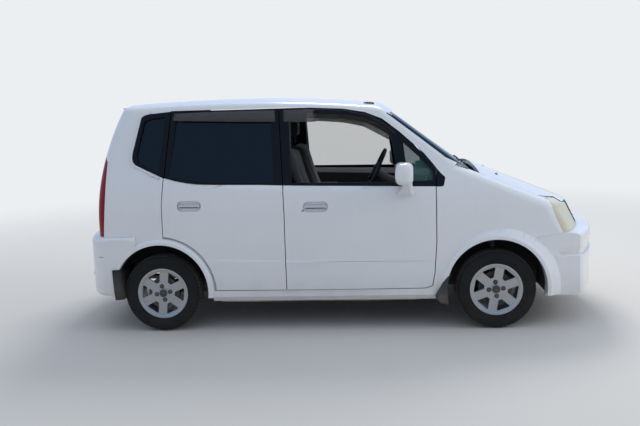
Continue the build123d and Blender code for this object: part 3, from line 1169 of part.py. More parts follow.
# Cowl between bonnet and windscreen, with the slots that hold the bonnet hinges
COWL_REAR_X = FIREWALL_X
with BuildPart() as cowl_half:
    with BuildSketch(Plane.XZ.offset(0)):
        with BuildLine():
            Polyline((COWL_REAR_X, COWL_Z - 60 + SEAT), (FOOT_X - 14, COWL_Z - 60 + SEAT), (FOOT_X - 14, COWL_Z - 8),
                     (FOOT_X - 60, COWL_Z + 2), (COWL_REAR_X, COWL_Z - 44), close=True)
        make_face()
    extrude(amount=640)
    half = BONNET_ARM_WIDTH / 2 + SEAT
    add(box(BONNET_HINGE_X - 14, FRONT_X, -BONNET_ARM_Y - half, -BONNET_ARM_Y + half, 900, 1200), mode=Mode.SUBTRACT)
with BuildPart() as cowl_panel:
    add(cowl_half.part)
    add(other_side(cowl_half.part))
    add(cabin_solid(GLASS_DEPTH + GLASS + 1, 60), mode=Mode.INTERSECT)
save(cowl_panel.part, "cowl_panel")

# Door mirrors, each a rounded shell on a foot that stands on the front door's shoulder
MIRROR_X = DOOR_FRONT_X - 217
MIRROR_Z = 1108
MIRROR_OUT = 952
with BuildPart() as mirror_right:
    with BuildSketch(Plane.XZ.offset(MIRROR_OUT - 150)):
        with Locations((MIRROR_X, MIRROR_Z)):
            RectangleRounded(122, 146, 34)
    extrude(amount=150, taper=6)
    fillet(mirror_right.faces().sort_by(Axis.Y)[0].edges(), radius=16)
    add(box(MIRROR_X - 40, MIRROR_X + 50, -MIRROR_OUT + 110, -760, 960, MIRROR_Z - 20))
    add(side_solid(-SEAT), mode=Mode.SUBTRACT)
for part, name in ((mirror_right.part, "mirror_right"), (other_side(mirror_right.part), "mirror_left")):
    save(part, name)

# Exhaust: a straight pipe on hangers, a silencer across the car behind the axle, and its tailpipe
EXHAUST_Y = 250
EXHAUST_Z = 172
PIPE_R = 22
SILENCER_X = REAR_X + 178
SILENCER_R = 56
with BuildPart() as exhaust:
    with BuildSketch(Plane.YZ.offset(SILENCER_X)):
        with Locations((EXHAUST_Y, EXHAUST_Z)):
            Circle(PIPE_R)
    extrude(amount=WHEELBASE + 150)
    add(drum(SILENCER_X, EXHAUST_Z + 40, SILENCER_R, -EXHAUST_Y - 190, -EXHAUST_Y + 190))
    with BuildSketch(Plane.YZ.offset(REAR_X + 12)):
        with Locations((EXHAUST_Y + 160, EXHAUST_Z + 35)):
            Circle(PIPE_R)
    extrude(amount=150)
    for hanger_x in (HEEL_X + 60, -200, 400):
        add(box(hanger_x - 8, hanger_x + 8, EXHAUST_Y - 14, EXHAUST_Y + 14, EXHAUST_Z, FLOOR_Z - SEAT))
save(exhaust.part, "exhaust")

# Mud flaps behind the four wheels
FLAP_T = 6
with BuildPart() as flaps_right:
    for axle_x, edge_z in ((FRONT_AXLE_X, FENDER_BOTTOM_Z), (REAR_AXLE_X, REAR_BUMPER_BOTTOM_Z)):
        flap_x = axle_x - sqrt(ARCH_R ** 2 - (ARCH_Z - edge_z) ** 2) + SEAT
        add(box(flap_x, flap_x + FLAP_T, -798, -640, 175, ARCH_Z))
with BuildPart() as mud_flaps:
    add(flaps_right.part)
    add(other_side(flaps_right.part))
save(mud_flaps.part, "mud_flaps")
save(floor_pan.part, "floor_pan")
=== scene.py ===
# A compact five-door minivan, right-hand drive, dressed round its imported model, in metres
# +X is forward, -Y the right-hand side and +Z up, as in the model
import json
import math

import bmesh
import bpy
from mathutils import Matrix, Vector
from mathutils.bvhtree import BVHTree


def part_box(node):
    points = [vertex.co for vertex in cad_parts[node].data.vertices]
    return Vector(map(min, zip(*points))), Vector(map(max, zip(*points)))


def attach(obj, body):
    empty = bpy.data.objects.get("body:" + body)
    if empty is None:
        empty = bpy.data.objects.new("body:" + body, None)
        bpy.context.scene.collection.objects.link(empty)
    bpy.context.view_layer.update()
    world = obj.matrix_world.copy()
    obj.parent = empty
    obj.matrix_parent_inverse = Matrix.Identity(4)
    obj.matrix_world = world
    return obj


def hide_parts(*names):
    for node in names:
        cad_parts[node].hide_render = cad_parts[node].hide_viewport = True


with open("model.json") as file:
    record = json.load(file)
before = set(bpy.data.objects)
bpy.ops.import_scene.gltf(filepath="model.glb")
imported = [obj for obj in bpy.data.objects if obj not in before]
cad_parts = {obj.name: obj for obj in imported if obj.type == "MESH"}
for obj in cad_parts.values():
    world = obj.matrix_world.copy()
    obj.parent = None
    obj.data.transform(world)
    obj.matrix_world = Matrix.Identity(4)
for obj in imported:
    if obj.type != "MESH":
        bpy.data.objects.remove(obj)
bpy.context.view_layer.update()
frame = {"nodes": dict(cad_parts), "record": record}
collection = bpy.context.scene.collection
carrier = {node: body for body, nodes in frame["record"]["behaviour"]["bodies"].items() for node in nodes}

# Painted panels
# Pressed steel and moulded bumpers, sprayed with white enamel under a clear coat that has dulled a
# little outdoors; the edges of every panel are rolled, so they catch the light.
PAINT = (0.80, 0.81, 0.83)
ROAD_DUST = (0.36, 0.31, 0.25)
PANEL_EDGE = 0.003
SMOOTH_ANGLE = math.radians(28)
BUMPER_SMOOTH = math.radians(45)
WELD = 0.00002


def wiring(tree):
    """Two ways to build a node tree: one adds a node with its values and settings, one links sockets."""
    def add(kind, values=(), **settings):
        made = tree.nodes.new(kind)
        for name, value in settings.items():
            setattr(made, name, value)
        for socket, value in dict(values).items():
            made.inputs[socket].default_value = value
        return made

    def link(*wires):
        for source, output, target, socket in wires:
            tree.links.new(source.outputs[output], target.inputs[socket])

    return add, link


def wear_group():
    """Broad tone, road dust near the ground, rain streaks and fine grain, for every finish on the car."""
    tree = bpy.data.node_groups.new("Surface wear", "ShaderNodeTree")
    for name, kind, value in (
        ("Clean", "NodeSocketColor", (0.8, 0.8, 0.8, 1)), ("Dust", "NodeSocketColor", (0.3, 0.3, 0.3, 1)),
        ("Tone", "NodeSocketFloat", 0.03), ("Dust amount", "NodeSocketFloat", 0.1),
        ("Dust height", "NodeSocketFloat", 0.3), ("Grain size", "NodeSocketFloat", 300.0),
        ("Roughness", "NodeSocketFloat", 0.4), ("Streaks", "NodeSocketFloat", 0.0),
    ):
        tree.interface.new_socket(name, in_out="INPUT", socket_type=kind).default_value = value
    for name, kind in (("Colour", "NodeSocketColor"), ("Roughness", "NodeSocketFloat"), ("Height", "NodeSocketFloat")):
        tree.interface.new_socket(name, in_out="OUTPUT", socket_type=kind)
    add, link = wiring(tree)
    inputs, outputs = add("NodeGroupInput"), add("NodeGroupOutput")
    place = add("ShaderNodeTexCoord")
    broad = add("ShaderNodeTexNoise", {"Scale": 2.2})
    patches = add("ShaderNodeTexNoise", {"Scale": 9.0, "Detail": 6.0})
    grain = add("ShaderNodeTexNoise")
    tone = add("ShaderNodeMath", {2: 0.97}, operation="MULTIPLY_ADD")
    shade = add("ShaderNodeMix", {"Factor": 1.0}, data_type="RGBA", blend_type="MULTIPLY")
    height = add("ShaderNodeSeparateXYZ")
    low = add("ShaderNodeMapRange", {"From Max": 0.1})
    uneven = add("ShaderNodeMapRange", {"From Min": 0.3, "From Max": 0.75, "To Min": 0.25})
    where = add("ShaderNodeMath", operation="MULTIPLY")
    settled_dust = add("ShaderNodeMath", operation="MULTIPLY")
    drawn = add("ShaderNodeVectorMath", operation="MULTIPLY")
    drawn.inputs[1].default_value = (38, 38, 1.3)
    rain = add("ShaderNodeTexNoise", {"Scale": 1.0})
    streak = add("ShaderNodeMapRange", {"From Min": 0.55, "From Max": 0.8})
    amount = add("ShaderNodeMath", operation="MULTIPLY_ADD", use_clamp=True)
    dusty = add("ShaderNodeMix", data_type="RGBA")
    rough = add("ShaderNodeMath", {1: 0.4}, operation="MULTIPLY_ADD")
    link(
        (place, "Object", broad, "Vector"), (place, "Object", patches, "Vector"), (place, "Object", grain, "Vector"),
        (inputs, "Grain size", grain, "Scale"), (broad, "Fac", tone, 0), (inputs, "Tone", tone, 1),
        (inputs, "Clean", shade, "A"), (tone, "Value", shade, "B"),
        (place, "Object", height, "Vector"), (height, "Z", low, "Value"), (inputs, "Dust height", low, "From Min"),
        (patches, "Fac", uneven, "Value"), (low, "Result", where, 0), (uneven, "Result", where, 1),
        (where, "Value", settled_dust, 0), (inputs, "Dust amount", settled_dust, 1),
        (place, "Object", drawn, 0), (drawn, "Vector", rain, "Vector"), (rain, "Fac", streak, "Value"),
        (streak, "Result", amount, 0), (inputs, "Streaks", amount, 1), (settled_dust, "Value", amount, 2),
        (amount, "Value", dusty, "Factor"), (shade, "Result", dusty, "A"), (inputs, "Dust", dusty, "B"),
        (dusty, "Result", outputs, "Colour"), (amount, "Value", rough, 0), (inputs, "Roughness", rough, 2),
        (rough, "Value", outputs, "Roughness"), (grain, "Fac", outputs, "Height"),
    )
    return tree


wear = wear_group()


def finish(name, clean, roughness, dust_amount=0.5, dust_height=0.45, tone=0.06, grain=400.0, bump=0.02, streaks=0.0,
           **sockets):
    """A material with the car's wear on it; further words are the shader's own sockets."""
    material = bpy.data.materials.new(name)
    material.use_nodes = True
    shader = material.node_tree.nodes["Principled BSDF"]
    add, link = wiring(material.node_tree)
    worn = add("ShaderNodeGroup", {
        "Clean": (*clean, 1), "Dust": (*ROAD_DUST, 1), "Tone": tone, "Dust amount": dust_amount,
        "Dust height": dust_height, "Grain size": grain, "Roughness": roughness, "Streaks": streaks}, node_tree=wear)
    relief = add("ShaderNodeBump", {"Strength": bump, "Distance": 0.001})
    link((worn, "Colour", shader, "Base Color"), (worn, "Roughness", shader, "Roughness"),
         (worn, "Height", relief, "Height"), (relief, "Normal", shader, "Normal"))
    for socket, value in sockets.items():
        shader.inputs[socket.replace("_", " ")].default_value = value
    return material


def keep(obj, material, body):
    """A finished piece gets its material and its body."""
    if material:
        obj.data.materials.clear()
        obj.data.materials.append(material)
    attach(obj, body)
    return obj


def within(x, z, outline):
    """Whether a point seen from the side lies inside an outline."""
    inside = False
    for (x0, z0), (x1, z1) in zip(outline, outline[1:] + outline[:1]):
        if (z0 > z) != (z1 > z) and x < x0 + (z - z0) * (x1 - x0) / (z1 - z0):
            inside = not inside
    return inside


def cut(shape, place, normal, faces=None):
    """Cuts all of a shape, or only some of its faces, along a plane."""
    if faces is None:
        parts = [*shape.verts, *shape.edges, *shape.faces]
    else:
        parts = list({part for face in faces for part in (face, *face.verts, *face.edges)})
    bmesh.ops.bisect_plane(shape, geom=parts, dist=WELD, plane_co=place, plane_no=normal)


def score(shape, outline):
    """Cuts the faces that an outline seen from the side crosses, along it, so that it can take a colour."""
    margin = 0.004
    for (x0, z0), (x1, z1) in zip(outline, outline[1:] + outline[:1]):
        low_x, high_x = min(x0, x1) - margin, max(x0, x1) + margin
        low_z, high_z = min(z0, z1) - margin, max(z0, z1) + margin
        crossed = [
            face for face in shape.faces
            if min(v.co.x for v in face.verts) < high_x and max(v.co.x for v in face.verts) > low_x
            and min(v.co.z for v in face.verts) < high_z and max(v.co.z for v in face.verts) > low_z
        ]
        cut(shape, (x0, 0, z0), (z1 - z0, 0, x0 - x1), crossed)


def dress(node, material, edge=PANEL_EDGE, zones=(), lining=None, work=None, smooth=SMOOTH_ANGLE):
    """A copy of one of the model's pieces with merged points, rolled edges and smooth panels.

    A zone is an outline seen from the side and the finish inside it; the lining is the finish of the
    faces that look into the car; work is a last change to the shape; edges sharper than smooth stay crisp.
    """
    mesh = frame["nodes"][node].data.copy()
    mesh.materials.clear()
    for finish_used in (material, *(zone[1] for zone in zones), lining):
        if finish_used:
            mesh.materials.append(finish_used)
    shape = bmesh.new()
    shape.from_mesh(mesh)
    bmesh.ops.remove_doubles(shape, verts=shape.verts, dist=WELD)
    bmesh.ops.dissolve_limit(shape, angle_limit=math.radians(0.4), verts=shape.verts, edges=shape.edges)
    for outline, _ in zones:
        score(shape, outline)
    for face in shape.faces:
        face.smooth = True
        face.material_index = 0
        centre = face.calc_center_median()
        for index, (outline, _) in enumerate(zones):
            if within(centre.x, centre.z, outline):
                face.material_index = index + 1
        if lining and face.material_index == 0 and face.normal.y * centre.y < 0 and abs(face.normal.y) > 0.35:
            face.material_index = len(zones) + 1
    if work:
        work(shape)
    shape.to_mesh(mesh)
    shape.free()
    mesh.set_sharp_from_angle(angle=smooth)
    obj = bpy.data.objects.new(node + "_skin", mesh)
    collection.objects.link(obj)
    if edge:
        bevel = obj.modifiers.new("Rolled edge", "BEVEL")
        bevel.width = edge
        bevel.segments = 2
        bevel.limit_method = "ANGLE"
        bevel.angle_limit = math.radians(40)
    flat = obj.modifiers.new("Flat panels", "WEIGHTED_NORMAL")
    flat.keep_sharp = True
    keep(obj, None, carrier[node])
    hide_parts(node)
    return obj


paint = finish("White enamel", PAINT, 0.28, dust_amount=0.5, dust_height=0.42, streaks=0.03, bump=0.012, grain=900.0,
               Coat_Weight=0.6, Coat_Roughness=0.08, Specular_IOR_Level=0.5)
headliner = finish("Headliner cloth", (0.30, 0.29, 0.27), 0.95, dust_amount=0.0, bump=0.5, grain=1300.0)
underseal = finish("Underseal", (0.016, 0.016, 0.016), 0.85, dust_amount=0.45, dust_height=0.5, bump=0.6, grain=220.0)
dress("roof_panel", paint, lining=headliner)
for node in ("fender_right", "fender_left", "rear_bumper"):
    dress(node, paint, lining=underseal, smooth=BUMPER_SMOOTH)

GROOVE_HEIGHTS = (0.505, 0.512, 0.530, 0.568)
GROOVE_ENDS = (1.53, 1.56)
GROOVE_DEPTH = 0.011


def rub_groove(shape):
    """Presses the long groove into the bumper's outside, with a ledge below it and a soft slope above."""
    for height in GROOVE_HEIGHTS:
        cut(shape, (0, 0, height), (0, 0, 1))
    shape.normal_update()
    for x in GROOVE_ENDS:
        cut(shape, (x, 0, 0), (1, 0, 0))
    outer = {}
    for face in shape.faces:
        centre = face.calc_center_median()
        away = Vector((face.normal.x, face.normal.y, 0))
        if away.length > 0.7 and away.dot(Vector((centre.x - 1.2, centre.y, 0))) > 0.05 and centre.x > 1.49:
            for vert in face.verts:
                outer.setdefault(vert, Vector((0, 0, 0)))
                outer[vert] += away.normalized()
    for vert, away in outer.items():
        if 0.511 < vert.co.z < 0.531 and abs(vert.co.y) > 0.05:
            vert.co -= away.normalized() * GROOVE_DEPTH * min(1, max(0, (vert.co.x - GROOVE_ENDS[0]) / 0.03))


dress("front_bumper", paint, lining=underseal, work=rub_groove, smooth=BUMPER_SMOOTH)
dress("bonnet", paint)

# Doors and side frames
# Pressed steel in body colour up to the shoulder, with satin black window frames, middle pillars and
# corners by the mirrors; the shoulder leans in to the glass, and a low crease runs along the doors.
BELT = [(-1.224, 1.109), (-1.130, 1.083), (-1.045, 1.066), (-0.975, 1.057), (-0.880, 1.052), (-0.518, 1.044),
        (-0.356, 1.037), (0.439, 1.014), (0.746, 1.006)]
SHOULDER = [(-1.224, 1.078), (-1.045, 1.036), (-0.898, 1.024), (-0.519, 1.000), (-0.033, 0.984), (0.447, 0.968)]
CORNER = [(0.736, 1.006), (0.750, 1.016), (0.759, 1.060), (0.752, 1.074), (0.728, 1.097), (0.694, 1.137),
          (0.66, 1.18)]
QUARTER = [(-1.140, 1.569), (-1.300, 1.556), (-1.350, 1.545), (-1.371, 1.530), (-1.404, 1.400), (-1.433, 1.285),
           (-1.436, 1.250), (-1.430, 1.220), (-1.412, 1.200), (-1.340, 1.165), (-1.224, 1.109)]
SHOULDER_DEPTH = 0.016
SHOULDER_TOP = 1.30
CREASE_DEPTH = 0.005
CREASE_Z = 0.504
black_sash = finish("Satin black sash", (0.004, 0.004, 0.005), 0.42, dust_amount=0.0, bump=0.05, grain=900.0,
                    Specular_IOR_Level=0.2)
door_trim = finish("Door trim", (0.055, 0.053, 0.050), 0.7, dust_amount=0.0, bump=0.4, grain=900.0)
handle_silver = finish("Handle silver", (0.60, 0.60, 0.61), 0.30, dust_amount=0.2, bump=0.05, grain=600.0,
                       Metallic=0.4)


def belt_height(x):
    """The height of the line where paint ends and the black window frames begin."""
    for (x0, z0), (x1, z1) in zip(BELT, BELT[1:]):
        if x <= x1:
            return z0 + (x - x0) * (z1 - z0) / (x1 - x0)
    return BELT[-1][1]


def lean_shoulder(shape):
    """Presses the outer skin in at the belt, fading out up the frames and ahead of the mirror."""
    skin = {
        vert for face in shape.faces for vert in face.verts
        if face.normal.y * vert.co.y > 0 and abs(face.normal.y) > 0.6 and abs(vert.co.y) > 0.66
    }
    rear_x = SHOULDER[0][0]
    for vert in skin:
        x, z = vert.co.x, vert.co.z
        line = belt_height(max(x, rear_x)) + max(0, rear_x - x) * 0.5
        if -1.45 < x < 0.62 and line - 0.0005 < z < SHOULDER_TOP:
            fade = min(1, (SHOULDER_TOP - z) / 0.2) * min(1, max(0, (0.56 - x) / 0.1))
            vert.co.y -= math.copysign(SHOULDER_DEPTH * fade, vert.co.y)


def press_door(shape):
    """Presses the shoulder, and a low crease along the door's lower half that catches the sky."""
    lean_shoulder(shape)
    for axis, places in ((0, (-0.90, -0.80, 0.60, 0.70)), (2, (0.400, CREASE_Z, 0.528))):
        for place in places:
            normal = [0, 0, 0]
            normal[axis] = 1
            low = [face for face in shape.faces if min(vert.co.z for vert in face.verts) < 0.56
                   and abs(face.normal.y) > 0.8 and max(vert.co.z for vert in face.verts) > 0.38]
            cut(shape, [place * n for n in normal], normal, low)
    crest = {vert for face in shape.faces for vert in face.verts
             if face.normal.y * vert.co.y > 0 and abs(face.normal.y) > 0.8 and abs(vert.co.z - CREASE_Z) < 0.001}
    for vert in crest:
        fade = min(1, max(0, (vert.co.x + 0.90) / 0.10)) * min(1, max(0, (0.70 - vert.co.x) / 0.10))
        vert.co.y += math.copysign(CREASE_DEPTH * fade, vert.co.y)


def around(points, top=1.62):
    """Closes a line into an outline that takes in all above it."""
    return [*points, (points[-1][0], top), (points[0][0], top)]


def rounded(width, height, radius, steps=5, centre=(0, 0)):
    """The points of a rectangle with round corners."""
    points = []
    for corner, (sx, sz) in enumerate(((1, 1), (-1, 1), (-1, -1), (1, -1))):
        for step in range(steps + 1):
            angle = math.radians(90 * corner + 90 * step / steps)
            points.append((centre[0] + sx * (width / 2 - radius) + radius * math.cos(angle),
                           centre[1] + sz * (height / 2 - radius) + radius * math.sin(angle)))
    return points


HANDLE = (0.157, 0.027, 0.011)
FRONT_HANDLE = (-0.1365, 0.887)
REAR_HANDLE = (-1.0285, 0.907)
front_zones = (
    (around([(-0.45, 1.040)] + BELT[6:8] + [(0.70, 1.0075)]), black_sash),
    (rounded(*HANDLE, centre=FRONT_HANDLE), handle_silver),
    (SHOULDER[3:] + [(0.58, 1.010)] + BELT[:5:-1], paint),
)
rear_zones = (
    (around([(-1.30, 1.128)] + BELT[:7] + [(-0.30, 1.035)]), black_sash),
    (rounded(*HANDLE, centre=REAR_HANDLE), handle_silver),
    (SHOULDER[:4] + [(-0.30, 0.995), (-0.30, 1.035)] + BELT[6::-1], paint),
)
PILLAR = [(-0.56, 1.03), (-0.25, 1.03), (-0.25, 1.552), (-0.56, 1.555)]
frame_zones = ((QUARTER + [(-1.12, 1.07)], black_sash), ([(0.63, 1.006)] + CORNER, black_sash), (PILLAR, black_sash))
for side in ("right", "left"):
    dress("front_door_" + side, paint, zones=front_zones, lining=door_trim, work=press_door)
    dress("rear_door_" + side, paint, zones=rear_zones, lining=door_trim, work=press_door)
    dress("side_frame_" + side, paint, zones=frame_zones, lining=headliner, work=lean_shoulder)

# Tailgate
# A pressed steel lid in body colour, hung from the roof, with moulded trim clipped to its inside.
def trim_inside(shape):
    """Gives the faces that look into the car the lining's finish."""
    for face in shape.faces:
        if face.normal.x > 0.5:
            face.material_index = 1


dress("tailgate", paint, lining=door_trim, work=trim_inside)

# Glass
# Clear laminated and tempered panes in front, and privacy glass, nearly black, behind the middle
# pillars; the right front window is wound down, so only its small fixed pane is here.
def glass(name, tint, alpha, glancing, roughness=0.03):
    """A pane that shows what is behind it, darkened by its tint, and more mirror-like when seen at a slant."""
    material = finish(name, tint, roughness, dust_amount=0.0, tone=0.02, bump=0.0, Specular_IOR_Level=0.35)
    add, link = wiring(material.node_tree)
    slant = add("ShaderNodeLayerWeight", {"Blend": 0.35})
    cover = add("ShaderNodeMapRange", {"To Min": alpha, "To Max": glancing})
    link((slant, "Facing", cover, "Value"), (cover, "Result", material.node_tree.nodes["Principled BSDF"], "Alpha"))
    return material


clear_glass = glass("Clear glass", (0.08, 0.12, 0.11), 0.22, 0.80)
vent_tint = glass("Green tinted glass", (0.05, 0.13, 0.11), 0.50, 0.85)
privacy_glass = glass("Privacy glass", (0.002, 0.003, 0.005), 0.93, 0.98)
for node in ("windscreen", "front_door_glass_left"):
    dress(node, clear_glass, edge=0)
dress("front_vent_glass_right", vent_tint, edge=0)
for node in ("quarter_glass", "rear_door_glass_right", "rear_door_glass_left", "tailgate_glass"):
    dress(node, privacy_glass, edge=0)

# Rain visors
# Smoked acrylic strips taped over the tops of the door windows, standing a finger's width off the
# frames; the front ones turn down along the windscreen pillar to a tip ahead of the window.
SIDES = (("right", -1), ("left", 1))
VISOR_WALL = 0.003
VISOR_PROUD = 0.014
VISOR_POINTS = 25
SKINS = [node for node in frame["nodes"] if node.startswith((
    "side_frame", "roof", "fender", "front_door", "rear_door", "quarter", "windscreen", "bonnet", "tail", "rear_bumper",
    "front_bumper", "cowl", "grille", "headlamps"))]


def body_skin():
    """The whole outside of the car, to find the surface that small pieces are fixed to."""
    points, faces = [], []
    for node in SKINS:
        mesh = frame["nodes"][node].data
        base = len(points)
        points.extend(vert.co.copy() for vert in mesh.vertices)
        faces.extend([base + index for index in face.vertices] for face in mesh.polygons)
    return BVHTree.FromPolygons(points, faces)


outside = body_skin()


def touch(start, way):
    """Where a line from outside first meets the car, and the direction that the surface faces there."""
    spot, facing, _, _ = outside.ray_cast(Vector(start), Vector(way))
    if facing.dot(Vector(way)) > 0:
        facing = -facing
    return spot, facing


def beside(x, z, side, proud=0.0):
    """A point of the car's side, or one that stands a little off it."""
    spot, facing = touch((x, side * 2, z), (0, -side, 0))
    return spot + facing * proud


def sheet_mesh(name, rows, wall, closed=False):
    """A thin moulded strip through rows of points, with a wall's thickness."""
    mesh = bpy.data.meshes.new(name)
    count = len(rows[0])
    faces = []
    for row in range(len(rows) - 1):
        for step in range(count if closed else count - 1):
            after = (step + 1) % count
            faces.append((row * count + step, row * count + after, (row + 1) * count + after,
                          (row + 1) * count + step))
    mesh.from_pydata([tuple(point) for row in rows for point in row], [], faces)
    for face in mesh.polygons:
        face.use_smooth = True
    obj = bpy.data.objects.new(name, mesh)
    collection.objects.link(obj)
    if wall:
        solid = obj.modifiers.new("Wall", "SOLIDIFY")
        solid.thickness = wall
        solid.offset = 0
    return obj


def facing_out(obj, fill_ends=False):
    """Welds a closed shell, or fills an open one's ends, and turns its faces outwards."""
    shape = bmesh.new()
    shape.from_mesh(obj.data)
    if fill_ends:
        bmesh.ops.holes_fill(shape, edges=[edge for edge in shape.edges if edge.is_boundary], sides=0)
    else:
        bmesh.ops.remove_doubles(shape, verts=shape.verts, dist=0.00001)
    bmesh.ops.recalc_face_normals(shape, faces=shape.faces)
    shape.to_mesh(obj.data)
    shape.free()
    return obj


def spaced(points, count):
    """A number of evenly spaced points along a line, in as many directions as its points have."""
    lengths = [0.0]
    for a, b in zip(points, points[1:]):
        lengths.append(lengths[-1] + math.dist(a, b))
    spread = []
    for step in range(count):
        goal = lengths[-1] * step / (count - 1)
        index = max(i for i in range(len(points) - 1) if lengths[i] <= goal + 1e-9)
        part = (goal - lengths[index]) / (lengths[index + 1] - lengths[index])
        spread.append(tuple(a + part * (b - a) for a, b in zip(points[index], points[index + 1])))
    return spread


smoked = glass("Smoked acrylic", (0.10, 0.095, 0.09), 0.62, 0.85, roughness=0.12)
VISORS = {
    "front": ([(-0.352, 1.556), (-0.10, 1.554), (0.085, 1.538), (0.24, 1.502), (0.345, 1.440), (0.425, 1.372)],
              [(-0.352, 1.474), (-0.11, 1.468), (0.060, 1.452), (0.20, 1.420), (0.305, 1.362), (0.405, 1.308)]),
    "rear": ([(-1.128, 1.553), (-0.90, 1.557), (-0.65, 1.558), (-0.415, 1.556)],
             [(-1.142, 1.502), (-0.91, 1.494), (-0.65, 1.483), (-0.408, 1.476)]),
}
for place, (upper, lower) in VISORS.items():
    for side, sign in SIDES:
        tops, feet = spaced(upper, VISOR_POINTS), spaced(lower, VISOR_POINTS)
        rows = []
        for drop, proud in ((0, 0.001), (0.12, VISOR_PROUD * 0.8), (0.5, VISOR_PROUD), (1, VISOR_PROUD)):
            row = []
            for index, (a, b) in enumerate(zip(tops, feet)):
                near_end = min(1, min(index, VISOR_POINTS - 1 - index) / 1.5)
                x, z = a[0] + drop * (b[0] - a[0]), a[1] + drop * (b[1] - a[1])
                frame_y = beside(a[0], a[1], sign).y
                lean = (beside(b[0], 1.05, sign).y - frame_y) * drop * (a[1] - b[1]) / (a[1] - 1.05)
                row.append((x, frame_y + lean + sign * max(proud * near_end, 0.001), z))
            rows.append(row)
        visor = sheet_mesh(f"visor_{place}_{side}", rows, VISOR_WALL)
        keep(visor, smoked, f"{place}_{side}_door")

# Windscreen edge
# The laminated pane is bonded over the pillars, so its dark printed edge laps them on both sides down to
# the bonnet.
edge_glass = glass("Printed glass edge", (0.010, 0.022, 0.036), 0.97, 0.99, roughness=0.24)
EDGE_TOP_Z = 1.515
EDGE_FOOT_Z = 1.19
EDGE_INNER_Y = 0.645
for side, sign in SIDES:
    rows = []
    for step in range(17):
        z = EDGE_TOP_Z - step * 0.026
        below = max(0, EDGE_FOOT_Z - z)
        reach, inner = 0.715 - (z - 1.25) * 0.21 - below * 0.8, 0.60 - (z - 1.2) * 0.35
        rows.append([])
        for part in range(9):
            y = inner + (reach - inner) * part / 8
            spot, facing = touch((3, sign * max(y, EDGE_INNER_Y), max(z, EDGE_FOOT_Z)), (-1, 0, 0))
            across = Vector((0.15, -sign, 0)) * max(0, EDGE_INNER_Y - y)
            rows[-1].append(spot + facing * 0.0022 + across + Vector((1.34, 0, -1)) * below)
    band = sheet_mesh("windscreen_edge_" + side, rows, 0.0022)
    keep(band, edge_glass, "body")

# Window beads and painted shade under the handles
# Raised paint-coloured lips pressed round the quarter panes' rear edge, a black strip of painted shade
# under each door handle's flap, and the key's barrel beside the front ones.
BEAD_WIDTH = 0.014
rubber_seal = finish("Seal rubber", (0.012, 0.012, 0.012), 0.7, dust_amount=0.0, bump=0.2, grain=800.0)


def bead(name, points, width, proud, material, body, side, count=40):
    """A low rounded strip along the car's side; its points are given seen from the side."""
    line = spaced(points, count)
    section = ((-0.5, -0.001), (-0.3, proud), (0, proud * 1.15), (0.3, proud), (0.5, -0.001))
    rows = [[] for _ in section]
    for index, (x, z) in enumerate(line):
        before, after = line[max(index - 1, 0)], line[min(index + 1, count - 1)]
        run = Vector((after[0] - before[0], after[1] - before[1])).normalized()
        for row, (across, rise) in zip(rows, section):
            row.append(beside(x - run.y * across * width, z + run.x * across * width, side, rise))
    strip = facing_out(sheet_mesh(name, rows, 0), fill_ends=True)
    return keep(strip, material, body)


QUARTER_LIP = [(-1.300, 1.563), (-1.352, 1.552), (-1.378, 1.532), (-1.412, 1.400), (-1.441, 1.287), (-1.444, 1.248),
               (-1.437, 1.215), (-1.416, 1.193), (-1.343, 1.157), (-1.236, 1.103)]
for side, sign in SIDES:
    bead("quarter_lip_" + side, QUARTER_LIP, BEAD_WIDTH, 0.006, paint, "body", sign)
    for place, (x, z) in (("front", FRONT_HANDLE), ("rear", REAR_HANDLE)):
        # A black strip along each handle flap's lower edge: painted shade for the hollow under it.
        shade_line = [(x - 0.074, z - 0.011), (x - 0.060, z - 0.009), (x + 0.062, z - 0.010), (x + 0.076, z - 0.012)]
        bead(f"handle_painted_shade_{place}_{side}", shade_line, 0.007, 0.0012, rubber_seal, f"{place}_{side}_door",
             sign, 16)
    key = rounded(0.011, 0.011, 0.0054, 4, (FRONT_HANDLE[0] - 0.088, FRONT_HANDLE[1] - 0.024))
    bead("key_barrel_" + side, key + key[:1], 0.004, 0.0015, rubber_seal, f"front_{side}_door",
         sign, 24)

# Lamps
# Polycarbonate lenses: the headlamps' have yellowed and clouded over two bright bowls and an amber
# bulb, and the tail lamps are tall red columns at the corners with a clear band for reversing.
lamp_lens = glass("Yellowed lens", (0.80, 0.76, 0.58), 0.62, 0.95, roughness=0.22)
red_lens = finish("Red lens", (0.24, 0.004, 0.006), 0.30, dust_amount=0.0, Specular_IOR_Level=0.2)
reverse_lens = finish("Clear lens", (0.62, 0.60, 0.58), 0.12, dust_amount=0.1, Coat_Weight=0.6)
bowl_silver = finish("Lamp bowl", (0.80, 0.80, 0.78), 0.12, dust_amount=0.0, Metallic=0.95)
amber_bulb = finish("Amber bulb", (0.75, 0.28, 0.03), 0.2, dust_amount=0.0)
dress("headlamps", lamp_lens, edge=0.003, lining=bowl_silver)


def lathe(name, profile, centre, axis, steps=48):
    """A closed round piece: its profile gives the distance along the axis and the radius, from end to end."""
    axis = Vector(axis).normalized()
    across = axis.orthogonal().normalized()
    third = axis.cross(across)
    rows = []
    for along, radius in profile:
        row = []
        for step in range(steps):
            angle = 2 * math.pi * step / steps
            spoke = across * math.cos(angle) + third * math.sin(angle)
            row.append(Vector(centre) + axis * along + spoke * max(radius, 0.0))
        rows.append(row)
    return facing_out(sheet_mesh(name, rows, 0, closed=True))


